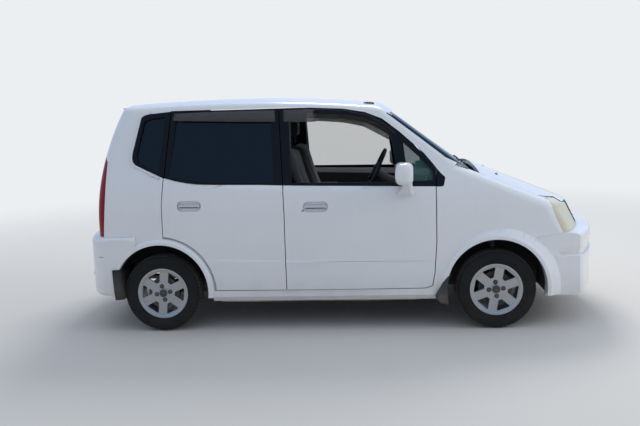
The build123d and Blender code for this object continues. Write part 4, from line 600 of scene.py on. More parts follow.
BOWL = [(0.0, 0.0), (0.004, 0.012), (0.012, 0.026), (0.026, 0.042), (0.045, 0.055), (0.047, 0.058), (0.040, 0.060),
        (0.020, 0.046), (0.004, 0.028), (-0.006, 0.012), (-0.008, 0.0)]
CLEAR_BAND = (0.790, 0.862)
for side, sign in SIDES:
    for number, (y, z, size) in enumerate(((0.620, 0.765, 1.0), (0.500, 0.755, 0.95))):
        spot, facing = touch((3, sign * y, z), (-1, 0, 0))
        bowl = lathe(f"lamp_bowl_{side}_{number}", [(a * size, r * size) for a, r in BOWL], spot - facing * 0.062,
                     facing)
        keep(bowl, bowl_silver, "body")
    bulb = lathe("turn_bulb_" + side, [(0, 0), (0, 0.011), (0.02, 0.013), (0.032, 0.008), (0.036, 0)],
                 (1.560, sign * 0.668, 0.725), (0.8, sign * 0.6, 0))
    keep(bulb, amber_bulb, "body")


def band_lamp(shape):
    """Gives the rear faces of the tail lamps their clear band."""
    for height in CLEAR_BAND:
        cut(shape, (0, 0, height), (0, 0, 1))
    for face in shape.faces:
        centre = face.calc_center_median()
        if CLEAR_BAND[0] < centre.z < CLEAR_BAND[1] and face.normal.x < -0.55 and abs(centre.y) < 0.70:
            face.material_index = 1


dress("tail_lamps", red_lens, edge=0.004, lining=reverse_lens, work=band_lamp)

# Black plastic
# Grained polypropylene mouldings, clipped on: the grille with its slats, the cowl, the mud flaps, and
# the lower intake's backing and bars; small painted fillers close the gaps beside the headlamps.
black_plastic = finish("Black plastic", (0.014, 0.014, 0.015), 0.55, bump=0.15, grain=1400.0)
trim_plastic = finish("Trim plastic", (0.10, 0.098, 0.094), 0.6, dust_amount=0.1, bump=0.3, grain=1100.0)
for node in ("grille", "cowl_panel"):
    dress(node, black_plastic, edge=0.002)


def trim_flaps(shape):
    """Cuts the rear flaps level with the bumper's edge pieces that they hang from."""
    for vert in shape.verts:
        if vert.co.x < -1.4:
            vert.co.z = max(vert.co.z, 0.240)


dress("mud_flaps", black_plastic, edge=0.002, work=trim_flaps)


def copying_tree(name, sockets):
    """Starts a geometry node tree that puts a copy of a piece on each of some points, and ends in its finish."""
    tree = bpy.data.node_groups.new(name, "GeometryNodeTree")
    for socket, kind in (("Geometry", "Geometry"), *sockets, ("Material", "Material")):
        tree.interface.new_socket(socket, in_out="INPUT", socket_type="NodeSocket" + kind)
    tree.interface.new_socket("Geometry", in_out="OUTPUT", socket_type="NodeSocketGeometry")
    add, link = wiring(tree)
    inputs, outputs = add("NodeGroupInput"), add("NodeGroupOutput")
    copies, real = add("GeometryNodeInstanceOnPoints"), add("GeometryNodeRealizeInstances")
    finished = add("GeometryNodeSetMaterial")
    link((inputs, "Geometry", copies, "Instance"), (copies, "Instances", real, "Geometry"),
         (inputs, "Material", finished, "Material"), (finished, "Geometry", outputs, "Geometry"))
    return tree, inputs, copies, real, finished


def row_tree():
    """A geometry node tree that repeats a piece in a straight row."""
    tree, inputs, copies, real, finished = copying_tree(
        "Row of pieces", (("Count", "Int"), ("Start", "Vector"), ("Step", "Vector")))
    add, link = wiring(tree)
    line = add("GeometryNodeMeshLine")
    link((inputs, "Count", line, "Count"), (inputs, "Start", line, "Start Location"), (inputs, "Step", line, "Offset"),
         (line, "Mesh", copies, "Points"), (real, "Geometry", finished, "Geometry"))
    return tree


def ring_tree():
    """A geometry node tree that repeats a piece in a ring round an axle, which runs across the car."""
    tree, inputs, copies, real, finished = copying_tree(
        "Ring of pieces", (("Count", "Int"), ("Radius", "Float"), ("Turn", "Float"), ("Centre", "Vector")))
    add, link = wiring(tree)
    circle, upright = add("GeometryNodeMeshCircle"), add("GeometryNodeTransform", {"Rotation": (math.pi / 2, 0, 0)})
    index, share = add("GeometryNodeInputIndex"), add("ShaderNodeMath", operation="DIVIDE")
    angle = add("ShaderNodeMath", {1: -2 * math.pi}, operation="MULTIPLY")
    turned, all_turn = add("ShaderNodeCombineXYZ"), add("ShaderNodeCombineXYZ")
    place = add("GeometryNodeTransform")
    link((inputs, "Count", circle, "Vertices"), (inputs, "Radius", circle, "Radius"),
         (circle, "Mesh", upright, "Geometry"), (upright, "Geometry", copies, "Points"),
         (index, "Index", share, 0), (inputs, "Count", share, 1), (share, "Value", angle, 0),
         (angle, "Value", turned, "Y"), (turned, "Vector", copies, "Rotation"), (real, "Geometry", place, "Geometry"),
         (inputs, "Turn", all_turn, "Y"), (all_turn, "Vector", place, "Rotation"),
         (inputs, "Centre", place, "Translation"), (place, "Geometry", finished, "Geometry"))
    return tree


row_of_pieces, ring_of_pieces = row_tree(), ring_tree()


def plain_mesh(obj):
    """The mesh that an object makes with its modifiers or its thickness."""
    bpy.context.view_layer.update()
    return bpy.data.meshes.new_from_object(obj.evaluated_get(bpy.context.evaluated_depsgraph_get()))


def repeat(obj, tree, material, **values):
    """Repeats a piece with one of the trees and turns the result into a plain mesh."""
    modifier = obj.modifiers.new(tree.name, "NODES")
    modifier.node_group = tree
    for item in tree.interface.items_tree:
        if item.in_out == "INPUT" and item.name in values:
            modifier[item.identifier] = values[item.name]
        if item.in_out == "INPUT" and item.name == "Material":
            modifier[item.identifier] = material
    mesh = plain_mesh(obj)
    obj.modifiers.clear()
    obj.data = mesh
    return obj


FACING_RIGHT = ((1, 0, 0), (0, 0, 1))
FACING_BACK = ((0, -1, 0), (0, 0, 1))


def slab(name, outline, origin, u, v, depth, edge=0.0):
    """A plate cut to an outline in the plane of u and v, thickened towards the direction that faces out."""
    u, v = Vector(u).normalized(), Vector(v).normalized()
    out = u.cross(v)
    shape = bmesh.new()
    near = [shape.verts.new(Vector(origin) + u * a + v * b) for a, b in outline]
    far = [shape.verts.new(vert.co + out * depth) for vert in near]
    shape.faces.new(near[::-1])
    shape.faces.new(far)
    for index in range(len(near)):
        after = (index + 1) % len(near)
        shape.faces.new((near[index], near[after], far[after], far[index]))
    bmesh.ops.recalc_face_normals(shape, faces=shape.faces)
    mesh = bpy.data.meshes.new(name)
    shape.to_mesh(mesh)
    shape.free()
    obj = bpy.data.objects.new(name, mesh)
    collection.objects.link(obj)
    if edge:
        bevel = obj.modifiers.new("Rounded edge", "BEVEL")
        bevel.width = edge
        bevel.segments = 2
        bevel.limit_method = "ANGLE"
    return obj


def rod(name, points, radius, sides=4):
    """A stiff bent rod through points, as a closed mesh."""
    line = bpy.data.curves.new(name, "CURVE")
    line.dimensions = "3D"
    line.bevel_depth = radius
    line.bevel_resolution = sides
    line.use_fill_caps = True
    spline = line.splines.new("POLY")
    spline.points.add(len(points) - 1)
    for point, at in zip(spline.points, points):
        point.co = (*at, 1)
    guide = bpy.data.objects.new(name + "_line", line)
    collection.objects.link(guide)
    mesh = plain_mesh(guide)
    bpy.data.objects.remove(guide)
    obj = bpy.data.objects.new(name, mesh)
    collection.objects.link(obj)
    return obj


GRILLE_SLATS = (0.715, 0.745)
for number, height in enumerate(GRILLE_SLATS):
    spine = [touch((3, y, height), (-1, 0, 0))[0] + Vector((-0.004, 0, 0))
             for y in (-0.38, -0.25, -0.12, 0, 0.12, 0.25, 0.38)]
    keep(rod(f"grille_slat_{number}", spine, 0.005), black_plastic, "body")

mouth = [touch((3, 0.285 * (step / 6 - 1), 0.285), (-1, 0, 0))[0] for step in range(13)]
backing = sheet_mesh("intake_backing", [[Vector((spot.x - 0.040, spot.y, z)) for spot in mouth]
                                        for z in (0.296, 0.36, 0.424)], 0.004)
keep(backing, black_plastic, "body")
for number, height in enumerate((0.333, 0.361, 0.389)):
    bar = [Vector((spot.x - 0.018, spot.y * 0.93, height)) for spot in mouth]
    keep(rod(f"intake_bar_{number}", bar, 0.005), black_plastic, "body")
for side, sign in SIDES:
    rows = [[Vector((x, sign * y, 0.902 - (x - 1.42) * 0.43 + (0.68 - y) * 0.12))
             for y in (outer, (outer + inner) / 2, inner)]
            for x, outer, inner in ((1.385, 0.664, 0.640), (1.41, 0.666, 0.625), (1.44, 0.668, 0.590),
                                    (1.474, 0.668, 0.560))]
    keep(sheet_mesh("lamp_filler_" + side, rows, 0.003), paint, "body")

# Wipers, washers and aerial
# Black painted steel arms and rubber blades parked along the foot of the windscreen, one blade on the
# rear pane, two washer nozzles on the bonnet and the aerial's low base on the roof.
BLADES = (("left", ((0.868, 0.56), (0.916, 0.30), (0.926, 0.04)), (0.926, 0.12)),
          ("right", ((0.914, -0.02), (0.904, -0.28), (0.848, -0.55)), (0.924, -0.24)))
for name, blade, pivot in BLADES:
    line = spaced(blade, 9)
    rest = [touch((x, y, 3), (0, 0, -1)) for x, y in line]
    keep(rod("wiper_blade_" + name, [spot + facing * 0.006 for spot, facing in rest], 0.0045),
         rubber_seal, "body")
    root, up = touch((*pivot, 3), (0, 0, -1))
    middle, facing = rest[4]
    arm = [root + Vector((0, 0, 0.002)), root + up * 0.009, (root + middle) / 2 + up * 0.013, middle + facing * 0.012]
    keep(rod("wiper_arm_" + name, arm, 0.005), black_plastic, "body")
rear_line = [touch((-3, y, z), (1, 0, 0)) for y, z in spaced([(0.02, 1.075), (0.40, 1.125)], 7)]
keep(rod("rear_wiper_blade", [spot + facing * 0.007 for spot, facing in rear_line], 0.0045),
     rubber_seal, "tailgate_body")
root, back = touch((-3, 0.0, 1.045), (1, 0, 0))
keep(rod("rear_wiper_arm", [root, root + back * 0.020, rear_line[3][0] + rear_line[3][1] * 0.016], 0.006),
     black_plastic, "tailgate_body")
for name, y in (("right", -0.36), ("left", 0.36)):
    spot, up = touch((1.165, y, 3), (0, 0, -1))
    nozzle = lathe("washer_nozzle_" + name,
                   [(-0.003, 0), (-0.003, 0.011), (0.003, 0.011), (0.007, 0.007), (0.008, 0)], spot, up, 20)
    keep(nozzle, black_plastic, "bonnet_body")
spot, up = touch((0.243, -0.455, 3), (0, 0, -1))
base = lathe("aerial_base", [(-0.002, 0), (-0.002, 0.024), (0.004, 0.023), (0.009, 0.018), (0.012, 0.010), (0.013, 0)],
             spot, up, 28)
for vert in base.data.vertices:
    vert.co.x = spot.x + (vert.co.x - spot.x) * 1.7
keep(base, black_plastic, "body")

# Door mirrors
# Painted shells with rounded corners on flared feet, screwed to the doors' shoulders; a silvered pane
# with a thin dark gap round it fills the back of each.
MIRROR_HEAD = ((-0.800, 0.096, 0.124, 0.030), (-0.806, 0.112, 0.140, 0.036), (-0.822, 0.120, 0.148, 0.038),
               (-0.880, 0.123, 0.151, 0.038), (-0.922, 0.118, 0.145, 0.042), (-0.938, 0.107, 0.133, 0.044),
               (-0.947, 0.090, 0.114, 0.042), (-0.951, 0.058, 0.080, 0.028))
MIRROR_FOOT = ((1.080, 0.488, -0.850, 0.074, 0.070), (1.048, 0.494, -0.846, 0.070, 0.066),
               (1.020, 0.494, -0.838, 0.073, 0.064), (0.996, 0.489, -0.826, 0.086, 0.062),
               (0.976, 0.482, -0.815, 0.106, 0.060), (0.966, 0.480, -0.811, 0.116, 0.058),
               (0.962, 0.480, -0.810, 0.112, 0.054))
MIRROR_BACK_X = 0.4735 - 0.0612
MIRROR_Y = 0.875
MIRROR_Z = 1.108
PANE_WALL = 0.0006
for side, sign in SIDES:
    head_rows = [[Vector((MIRROR_BACK_X + width / 2 + a, -sign * y, MIRROR_Z + b))
                  for a, b in rounded(width, height, radius, 6)] for y, width, height, radius in MIRROR_HEAD]
    foot_rows = [[Vector((x + a, -sign * y + b, z)) for a, b in rounded(long, wide, wide * 0.42, 6)]
                 for z, x, y, long, wide in MIRROR_FOOT]
    for part, rows in (("mirror_head_", head_rows), ("mirror_foot_", foot_rows)):
        shell = facing_out(sheet_mesh(part + side, rows, 0, closed=True), fill_ends=True)
        for face in shell.data.polygons:
            face.use_smooth = True
        shell.data.set_sharp_from_angle(angle=math.radians(50))
        keep(shell, paint, f"front_{side}_door")
        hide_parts("mirror_" + side)
mirror_silver = finish("Mirror silver", (0.75, 0.76, 0.78), 0.04, dust_amount=0.0, tone=0.01, Metallic=1.0)
for side, sign in SIDES:
    for part, outline, x, material, slot in (
        ("gap", rounded(0.112, 0.134, 0.030), MIRROR_BACK_X, black_plastic, "black_plastic"),
        ("pane", rounded(0.104, 0.126, 0.028), MIRROR_BACK_X - PANE_WALL, mirror_silver, "alloy"),
    ):
        piece = slab(f"mirror_{part}_{side}", outline, (x, sign * MIRROR_Y, MIRROR_Z), *FACING_BACK, PANE_WALL)
        keep(piece, material, f"front_{side}_door")

# Cabin
# A moulded dashboard with a hood over the dials, vents and a centre panel, the steering column and its
# leather-grained wheel, a mirror on the windscreen and two cloth-covered sun visors.
wheel_grip = finish("Steering wheel grip", (0.012, 0.012, 0.012), 0.5, dust_amount=0.0, bump=0.5, grain=700.0)
dress("steering_wheel", wheel_grip, edge=0.002)
for node in ("dashboard", "steering_column"):
    dress(node, trim_plastic, edge=0.004)
(dash_rear, _, _), (_, _, dash_top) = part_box("dashboard")
centre_panel = slab("centre_panel", rounded(0.24, 0.20, 0.02), (dash_rear - 0.001, 0, 0.885), *FACING_BACK,
                    0.006, 0.003)
keep(centre_panel, black_plastic, "body")
for number, y in enumerate((-0.58, -0.07, 0.07, 0.58)):
    surround = slab(f"vent_{number}", rounded(0.11, 0.055, 0.012), (dash_rear - 0.0005, y, 0.955), *FACING_BACK,
                    0.005, 0.002)
    keep(surround, black_plastic, "body")
    slat = slab(f"vent_slats_{number}", rounded(0.095, 0.003, 0.0012, 2), (0, 0, 0), *FACING_BACK, 0.004)
    keep(repeat(slat, row_of_pieces, trim_plastic, Count=4, Start=(dash_rear - 0.006, y, 0.939), Step=(0, 0, 0.0105)),
         trim_plastic, "body")
hood = slab("dial_hood", [(-0.17, 0), (-0.15, 0.045), (-0.09, 0.072), (0.09, 0.072), (0.15, 0.045), (0.17, 0)],
            (dash_rear + 0.20, -0.37, dash_top - 0.008), *FACING_BACK, 0.13, 0.010)
keep(hood, trim_plastic, "body")
mirror_stalk = rod("inner_mirror_stalk", [(0.47, 0, 1.44), (0.44, 0, 1.435), (0.43, 0, 1.42)], 0.006)
keep(mirror_stalk, black_plastic, "body")
inner_mirror = slab("inner_mirror", rounded(0.23, 0.062, 0.028), (0.432, 0, 1.40), *FACING_BACK, 0.022, 0.006)
keep(inner_mirror, black_plastic, "body")
for side, sign in SIDES:
    sun_visor = slab("sun_visor_" + side, rounded(0.36, 0.125, 0.03), (0.357, sign * 0.33, 1.468),
                     (0, -1, 0), (-0.86, 0, 0.51), 0.012, 0.004)
    keep(sun_visor, headliner, "body")

# Underside
# Underseal on the pan and in the wheelhouses, chassis black on arms, axle and struts, a plain cast
# engine and gearbox, and the bare steel of the exhaust.
dark_steel = finish("Black chassis paint", (0.03, 0.028, 0.026), 0.6, dust_amount=0.6, dust_height=0.6, bump=0.2)
for node in ("front_suspension", "rear_axle", "knuckle_right", "knuckle_left"):
    dress(node, dark_steel, edge=0.002)
engine_metal = finish("Cast engine metal", (0.22, 0.22, 0.22), 0.55, bump=0.4, grain=700.0, Metallic=0.8)
dress("engine_block", engine_metal, edge=0.004)
exhaust_steel = finish("Exhaust steel", (0.26, 0.22, 0.19), 0.5, bump=0.3, grain=300.0, Metallic=0.9)
dress("exhaust", exhaust_steel, edge=0.002)
dress("floor_pan", underseal, edge=0.002)

# Arch liners and flaps
# Thin black polypropylene sheets clipped into the front arches below the wheelhouses, flaps screwed over
# the fenders' rear tips, and thick ones that wrap round the front edge of the rear bumper.
FRONT_AXLE_X = 1.1025
ARCH_CENTRE_Z = 0.295
LINER_R = 0.347
FLAP_REAR_EDGE = [(0.786, 0.402), (0.757, 0.374), (0.728, 0.340), (0.700, 0.290), (0.676, 0.248), (0.698, 0.212),
                  (0.727, 0.192)]
FLAP_FRONT_EDGE = [(0.787, 0.402), (0.775, 0.376), (0.7655, 0.345), (0.7610, 0.300), (0.7620, 0.255), (0.765, 0.215),
                   (0.768, 0.190)]
FLAP_SPOTS = ((0.70, 0.30), (0.728, 0.34), (0.745, 0.33), (0.755, 0.30), (0.75, 0.36))
REAR_FLAP = ((-1.604, 0.8185), (-1.575, 0.8185), (-1.556, 0.812), (-1.545, 0.795), (-1.540, 0.70), (-1.538, 0.60),
             (-1.537, 0.50))
for side, sign in SIDES:
    for place, start, sweep in (("front", -18, 62), ("rear", 162, 36)):
        rows = []
        for step in range(13):
            angle = math.radians(start + sweep * step / 12)
            x, z = FRONT_AXLE_X + LINER_R * math.cos(angle), ARCH_CENTRE_Z + LINER_R * math.sin(angle)
            rows.append([Vector((x, sign * y, z)) for y in (0.380, 0.46, 0.54, 0.60, 0.66, 0.72, 0.772)])
        rows = [row for row in rows if row[0].z > 0.222]
        keep(sheet_mesh(f"arch_liner_{place}_{side}", rows, 0.003), underseal, "body")
    outer_y = max(abs(beside(x, z, sign).y) for x, z in FLAP_SPOTS) + 0.0035
    rows = []
    for (x0, z0), (x1, z1) in zip(FLAP_REAR_EDGE, FLAP_FRONT_EDGE):
        flat = [(x0 + (x1 - x0) * part, outer_y, z0 + (z1 - z0) * part) for part in (0, 0.33, 0.67, 0.95)]
        rows.append([Vector((x, sign * y, z))
                     for x, y, z in (*flat, (x1, outer_y - 0.004, z1), (x1, 0.74, z1), (x1, 0.68, z1))])
    keep(sheet_mesh("front_flap_" + side, rows, 0.003), black_plastic, "body")
for side, sign in SIDES:
    rows = [[Vector((x + spread, sign * (y + spread * 0.3), drop)) for x, y in REAR_FLAP]
            for drop, spread in ((0.462, 0.0), (0.40, 0.002), (0.32, 0.006), (0.245, 0.012))]
    keep(sheet_mesh("rear_flap_" + side, rows, 0.005), black_plastic, "body")

# Seats
# Foam pads under grey woven cloth, each puffed out between its seams; the front ones stand on steel
# runners with posts for the headrests, and the bench on four brackets.
SEAT_CENTRE = 0.37
PAD_SHRINK = 0.012
PAD_CAP = 0.018
VOXEL = 0.014
SEAT_SPAN = 0.235
SEAM_DEPTH = 0.007
SEAM_REACH = 0.014
SWELL_STEPS = 20
seat_cloth = finish("Seat cloth", (0.060, 0.060, 0.065), 0.95, dust_amount=0.0, tone=0.2, bump=0.9, grain=1500.0,
                    Sheen_Weight=0.4)
CUSHION = [(-0.130, 0.485), (0.335, 0.485), (0.352, 0.540), (0.325, 0.592), (-0.075, 0.582), (-0.130, 0.560)]
BACK = [(-0.120, 0.600), (-0.108, 0.645), (-0.266, 1.100), (-0.318, 1.275), (-0.390, 1.295), (-0.408, 1.255),
        (-0.325, 1.090), (-0.212, 0.700), (-0.190, 0.600)]
HEADREST = [(-0.350, 1.325), (-0.350, 1.470), (-0.385, 1.478), (-0.430, 1.460), (-0.430, 1.335), (-0.400, 1.320)]
BENCH = (-0.84, 0.04)
PADS = [(f"{part}_{side}", outline, sign * SEAT_CENTRE, half, (0, 0), "front_seats")
        for side, sign in SIDES
        for part, outline, half in (("cushion", CUSHION, SEAT_SPAN), ("back", BACK, SEAT_SPAN),
                                    ("headrest", HEADREST, 0.112))]
PADS += [("bench_cushion", CUSHION, 0, 0.495, BENCH, "rear_seat"), ("bench_back", BACK, 0, 0.495, BENCH, "rear_seat")]
PADS += [("bench_headrest_" + side, [(x, z - 0.03) for x, z in HEADREST], sign * 0.25, 0.105, BENCH, "rear_seat")
         for side, sign in SIDES]
pads = []
for name, outline, y, half, (shift_x, shift_z), node in PADS:
    middle_x = sum(x for x, _ in outline) / len(outline)
    middle_z = sum(z for _, z in outline) / len(outline)
    drawn_in = []
    for x, z in outline:
        away = Vector((x - middle_x, z - middle_z))
        short = away * max(0.3, 1 - PAD_SHRINK / away.length)
        drawn_in.append((middle_x + shift_x + short.x, middle_z + shift_z + short.y))
    pad = slab("seat_" + name, drawn_in, (0, y + half - PAD_SHRINK, 0), *FACING_RIGHT, 2 * (half - PAD_SHRINK))
    shape = bmesh.new()
    shape.from_mesh(pad.data)
    bmesh.ops.bevel(shape, geom=[*shape.edges], offset=0.022, segments=3, profile=0.6, affect="EDGES",
                    clamp_overlap=True)
    bmesh.ops.recalc_face_normals(shape, faces=shape.faces)
    shape.to_mesh(pad.data)
    shape.free()
    remesh = pad.modifiers.new("Even grid", "REMESH")
    remesh.mode = "VOXEL"
    remesh.voxel_size = VOXEL
    mesh = plain_mesh(pad)
    pad.modifiers.clear()
    pad.data = mesh
    pads.append((pad, [vert.co.copy() for vert in mesh.vertices], y, half, node))

for pad, *_ in pads:
    cloth = pad.modifiers.new("Cloth", "CLOTH")
    cloth.settings.use_pressure = True
    cloth.settings.uniform_pressure_force = 4
    cloth.settings.effector_weights.gravity = 0
    cloth.point_cache.frame_start = 1
    cloth.point_cache.frame_end = SWELL_STEPS
for step in range(1, SWELL_STEPS + 1):
    bpy.context.scene.frame_set(step)
for pad, at_rest, *_ in pads:
    puffed = pad.evaluated_get(bpy.context.evaluated_depsgraph_get()).data
    moved = [vert.co.copy() for vert in puffed.vertices]
    pad.modifiers.clear()
    for vert, was, now in zip(pad.data.vertices, at_rest, moved):
        way = now - was
        vert.co = was + way * min(1, PAD_CAP / max(way.length, 1e-6))
bpy.context.scene.frame_set(1)

for pad, _, y, half, node in pads:
    for vert in pad.data.vertices:
        across = abs(vert.co.y - y)
        for seam in ((half - 0.085,) if half > 0.2 else ()) + ((0.0, 0.17) if half > 0.4 else ()):
            vert.co -= vert.normal * (SEAM_DEPTH * max(0, 1 - abs(across - seam) / SEAM_REACH))
    for face in pad.data.polygons:
        face.use_smooth = True
    smooth = pad.modifiers.new("Smooth", "SUBSURF")
    smooth.levels = smooth.render_levels = 1
    keep(pad, seat_cloth, "body")
    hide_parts(node)

for number, (x, y, z) in enumerate([(-0.388, sign * SEAT_CENTRE + post, 1.27)
                                    for sign in (-1, 1) for post in (-0.05, 0.05)]):
    keep(rod(f"headrest_post_{number}", [(x, y, z), (x, y, z + 0.08)], 0.005), dark_steel, "body")
RUNNER = [(-0.16, 0.230), (0.30, 0.230), (0.30, 0.262), (0.16, 0.29), (0.16, 0.478), (-0.10, 0.478), (-0.10, 0.29),
          (-0.16, 0.262)]
for number, y in enumerate([sign * SEAT_CENTRE + rail for sign in (-1, 1) for rail in (-0.18, 0.18)]):
    runner = slab(f"seat_runner_{number}", RUNNER, (0, y + 0.018, 0), *FACING_RIGHT, 0.036, 0.003)
    keep(runner, dark_steel, "body")
    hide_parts("front_seats")
for number, y in enumerate((-0.40, -0.13, 0.13, 0.40)):
    bracket = slab(f"bench_bracket_{number}", [(-1.01, 0.352), (-0.56, 0.352), (-0.56, 0.53), (-1.01, 0.53)],
                   (0, y + 0.015, 0), *FACING_RIGHT, 0.030, 0.004)
    keep(bracket, dark_steel, "body")

# Wheels
# Radial tyres with ribbed shoulders and block tread on one-piece alloy rims, held by four nuts
# round a plain dark cap; a thin black disc round each nut is painted shade for its deep pocket.
REAR_AXLE_X = -1.2575
HALF_TRACK = 0.707
WHEEL_Z = 0.278
NUT_CIRCLE_R = 0.050
TREAD_BASE = 0.2688
# The tyre rubber is black, and is made darker still as painted shade for the shade round the wheels.
rubber = finish("Tyre rubber with painted shade", (0.006, 0.006, 0.006), 0.70, dust_amount=0.06, dust_height=0.7, bump=0.3, grain=600.0,
                Specular_IOR_Level=0.25)
tread_rubber = finish("Tread rubber", (0.018, 0.017, 0.016), 0.85, dust_amount=0.35, dust_height=0.8, bump=0.5,
                      grain=350.0)
alloy = finish("Wheel alloy", (0.46, 0.455, 0.45), 0.36, dust_amount=0.3, dust_height=0.5, bump=0.03, Metallic=0.8)
TYRE_HALF = [(0.0597, 0.1815), (0.0670, 0.1815), (0.0705, 0.1850), (0.0755, 0.1885), (0.0765, 0.1925), (0.0762, 0.1950),
             (0.0785, 0.2020), (0.0800, 0.2060), (0.0800, 0.2085), (0.0815, 0.2140), (0.0823, 0.2280), (0.0818, 0.2400),
             (0.0806, 0.2480), (0.0806, 0.2500), (0.0785, 0.2580), (0.0740, 0.2640), (0.0690, TREAD_BASE - 0.0010)]
BEAD_SEAT = 0.1653
LUG_ROWS = ((0.0530, 0.0255, 0.0068), (0.0225, 0.0225, 0.0084), (0.0, 0.0130, 0.0088))
LUGS_ROUND = 66
LUG_SINK = 0.0006
SHOULDER_DROP = 0.0035
ROW_TURN = 2.7
HALF_SECTION = [(0.0597, BEAD_SEAT), *TYRE_HALF, (0.03, TREAD_BASE), (0.0, TREAD_BASE)]
TYRE_SECTION = [(-a, r) for a, r in HALF_SECTION[:-1]] + HALF_SECTION[::-1]
TYRE_SECTION.append(TYRE_SECTION[0])
for place, x, sign, turn in (("front_right", FRONT_AXLE_X, -1, 50), ("front_left", FRONT_AXLE_X, 1, 10),
                             ("rear_right", REAR_AXLE_X, -1, 55), ("rear_left", REAR_AXLE_X, 1, 25)):
    centre = (x, sign * HALF_TRACK, WHEEL_Z)
    carcass = lathe("tyre_body_" + place, TYRE_SECTION, centre, (0, 1, 0), 96)
    for face in carcass.data.polygons:
        face.use_smooth = True
    carcass.data.set_sharp_from_angle(angle=math.radians(35))
    keep(carcass, rubber, place + "_wheel")
    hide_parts("tyre_" + place)
    for number, (offset, width, height) in enumerate(LUG_ROWS):
        for mirror_side in ((-1, 1) if offset else (1,)):
            section = [(0, -0.0115), (height, -0.0095), (height, 0.0095), (0, 0.0115)]
            lug = slab(f"tread_{place}_{number}_{'in' if mirror_side < 0 else 'out'}", section,
                       (0, mirror_side * offset + width / 2, 0), *FACING_RIGHT, width)
            if number == 0:
                for vert in lug.data.vertices:
                    if abs(vert.co.y) > offset and vert.co.x > 0.001:
                        vert.co.x -= SHOULDER_DROP
            ring = repeat(lug, ring_of_pieces, tread_rubber, Count=LUGS_ROUND, Radius=TREAD_BASE - LUG_SINK,
                          Turn=math.radians(ROW_TURN * number), Centre=centre)
            keep(ring, tread_rubber, place + "_wheel")
    dress("rim_" + place, alloy, edge=0.003)
    cap = lathe("wheel_cap_" + place, [(0.0605, 0), (0.0605, 0.0285), (0.0630, 0.0285), (0.0650, 0.0250),
                                       (0.0655, 0.0180), (0.0640, 0.0150), (0.0640, 0)], centre, (0, sign, 0), 40)
    keep(cap, black_plastic, place + "_wheel")
    for name, section, steps, stand, material, slot in (
        ("wheel_nuts_", [(0, 0), (0, 0.0098), (0.010, 0.0092), (0.0125, 0.0055), (0.0130, 0)], 6, 0.0482,
         dark_steel, "dark_steel"),
        # Each pocket is a thin black disc on the spoke face round its nut: painted shade for the deep hollow.
        ("nut_pocket_painted_shade_", [(0, 0), (0, 0.0165), (0.0010, 0.0165), (0.0010, 0)], 20, 0.0539,
         black_plastic, "black_plastic"),
    ):
        piece = lathe(name + place, section, (0, 0, 0), (0, sign, 0), steps)
        ring = repeat(piece, ring_of_pieces, material, Count=4, Radius=NUT_CIRCLE_R, Turn=math.radians(-turn - 45),
                      Centre=(x, sign * (HALF_TRACK + stand), WHEEL_Z))
        keep(ring, material, place + "_wheel")

# Tail and sills
# A moulded stop lamp over the rear pane, a grip with two number lamps above the plate seat, reflectors
# and a small scrape on the bumper, road film under the sills and the filler flap's gap on the left.
def patch(name, outline, at, side, proud, material, body):
    """A thin piece laid on the car's side or tail; its outline is given round its middle."""
    rows = []
    for size in (0.0, 0.5, 1.0):
        row = []
        for a, b in outline:
            if side:
                row.append(beside(at[0] + a * size, at[1] + b * size, side, proud))
            else:
                spot, facing = touch((-3, at[0] + a * size, at[1] + b * size), (1, 0, 0))
                row.append(spot + facing * proud)
        rows.append(row)
    piece = facing_out(sheet_mesh(name, rows, 2 * proud, closed=True))
    return keep(piece, material, body)


patch("bumper_scrape", rounded(0.040, 0.0035, 0.0015, 2), (-1.690, 0.552), -1, 0.0004, black_plastic, "body")
for side, sign in SIDES:
    patch("reflector_" + side, rounded(0.13, 0.030, 0.010), (sign * 0.56, 0.40), 0, 0.003, red_lens, "body")
sill_dirt = finish("Road film", (0.40, 0.35, 0.28), 0.85, dust_amount=0.5, bump=0.4, grain=200.0)
for side, sign in SIDES:
    low = [(x, 0.2065 + 0.002 * math.sin(x * 23)) for x in (-0.83, -0.6, -0.4, -0.2, 0.0, 0.2, 0.4, 0.56)]
    seam = slab("sill_seam_" + side, low + [(0.56, 0.2215), (-0.83, 0.2215)], (0, sign * 0.748, 0), *FACING_RIGHT,
                0.004)
    keep(seam, sill_dirt, "body")
patch("stop_lamp", rounded(0.26, 0.022, 0.008), (0, 1.560), 0, 0.003, red_lens, "tailgate_body")
patch("tailgate_grip", rounded(0.44, 0.036, 0.012), (0, 1.003), 0, 0.006, paint, "tailgate_body")
for number, y in enumerate((-0.11, 0.11)):
    patch(f"number_lamp_{number}", rounded(0.040, 0.010, 0.004), (y, 0.978), 0, 0.003, reverse_lens, "tailgate_body")
flap_line = rounded(0.16, 0.16, 0.035, 6, (-1.52, 0.93))
bead("filler_flap_gap", flap_line + flap_line[:1], 0.004, 0.0005, rubber_seal, "body", 1, 90)

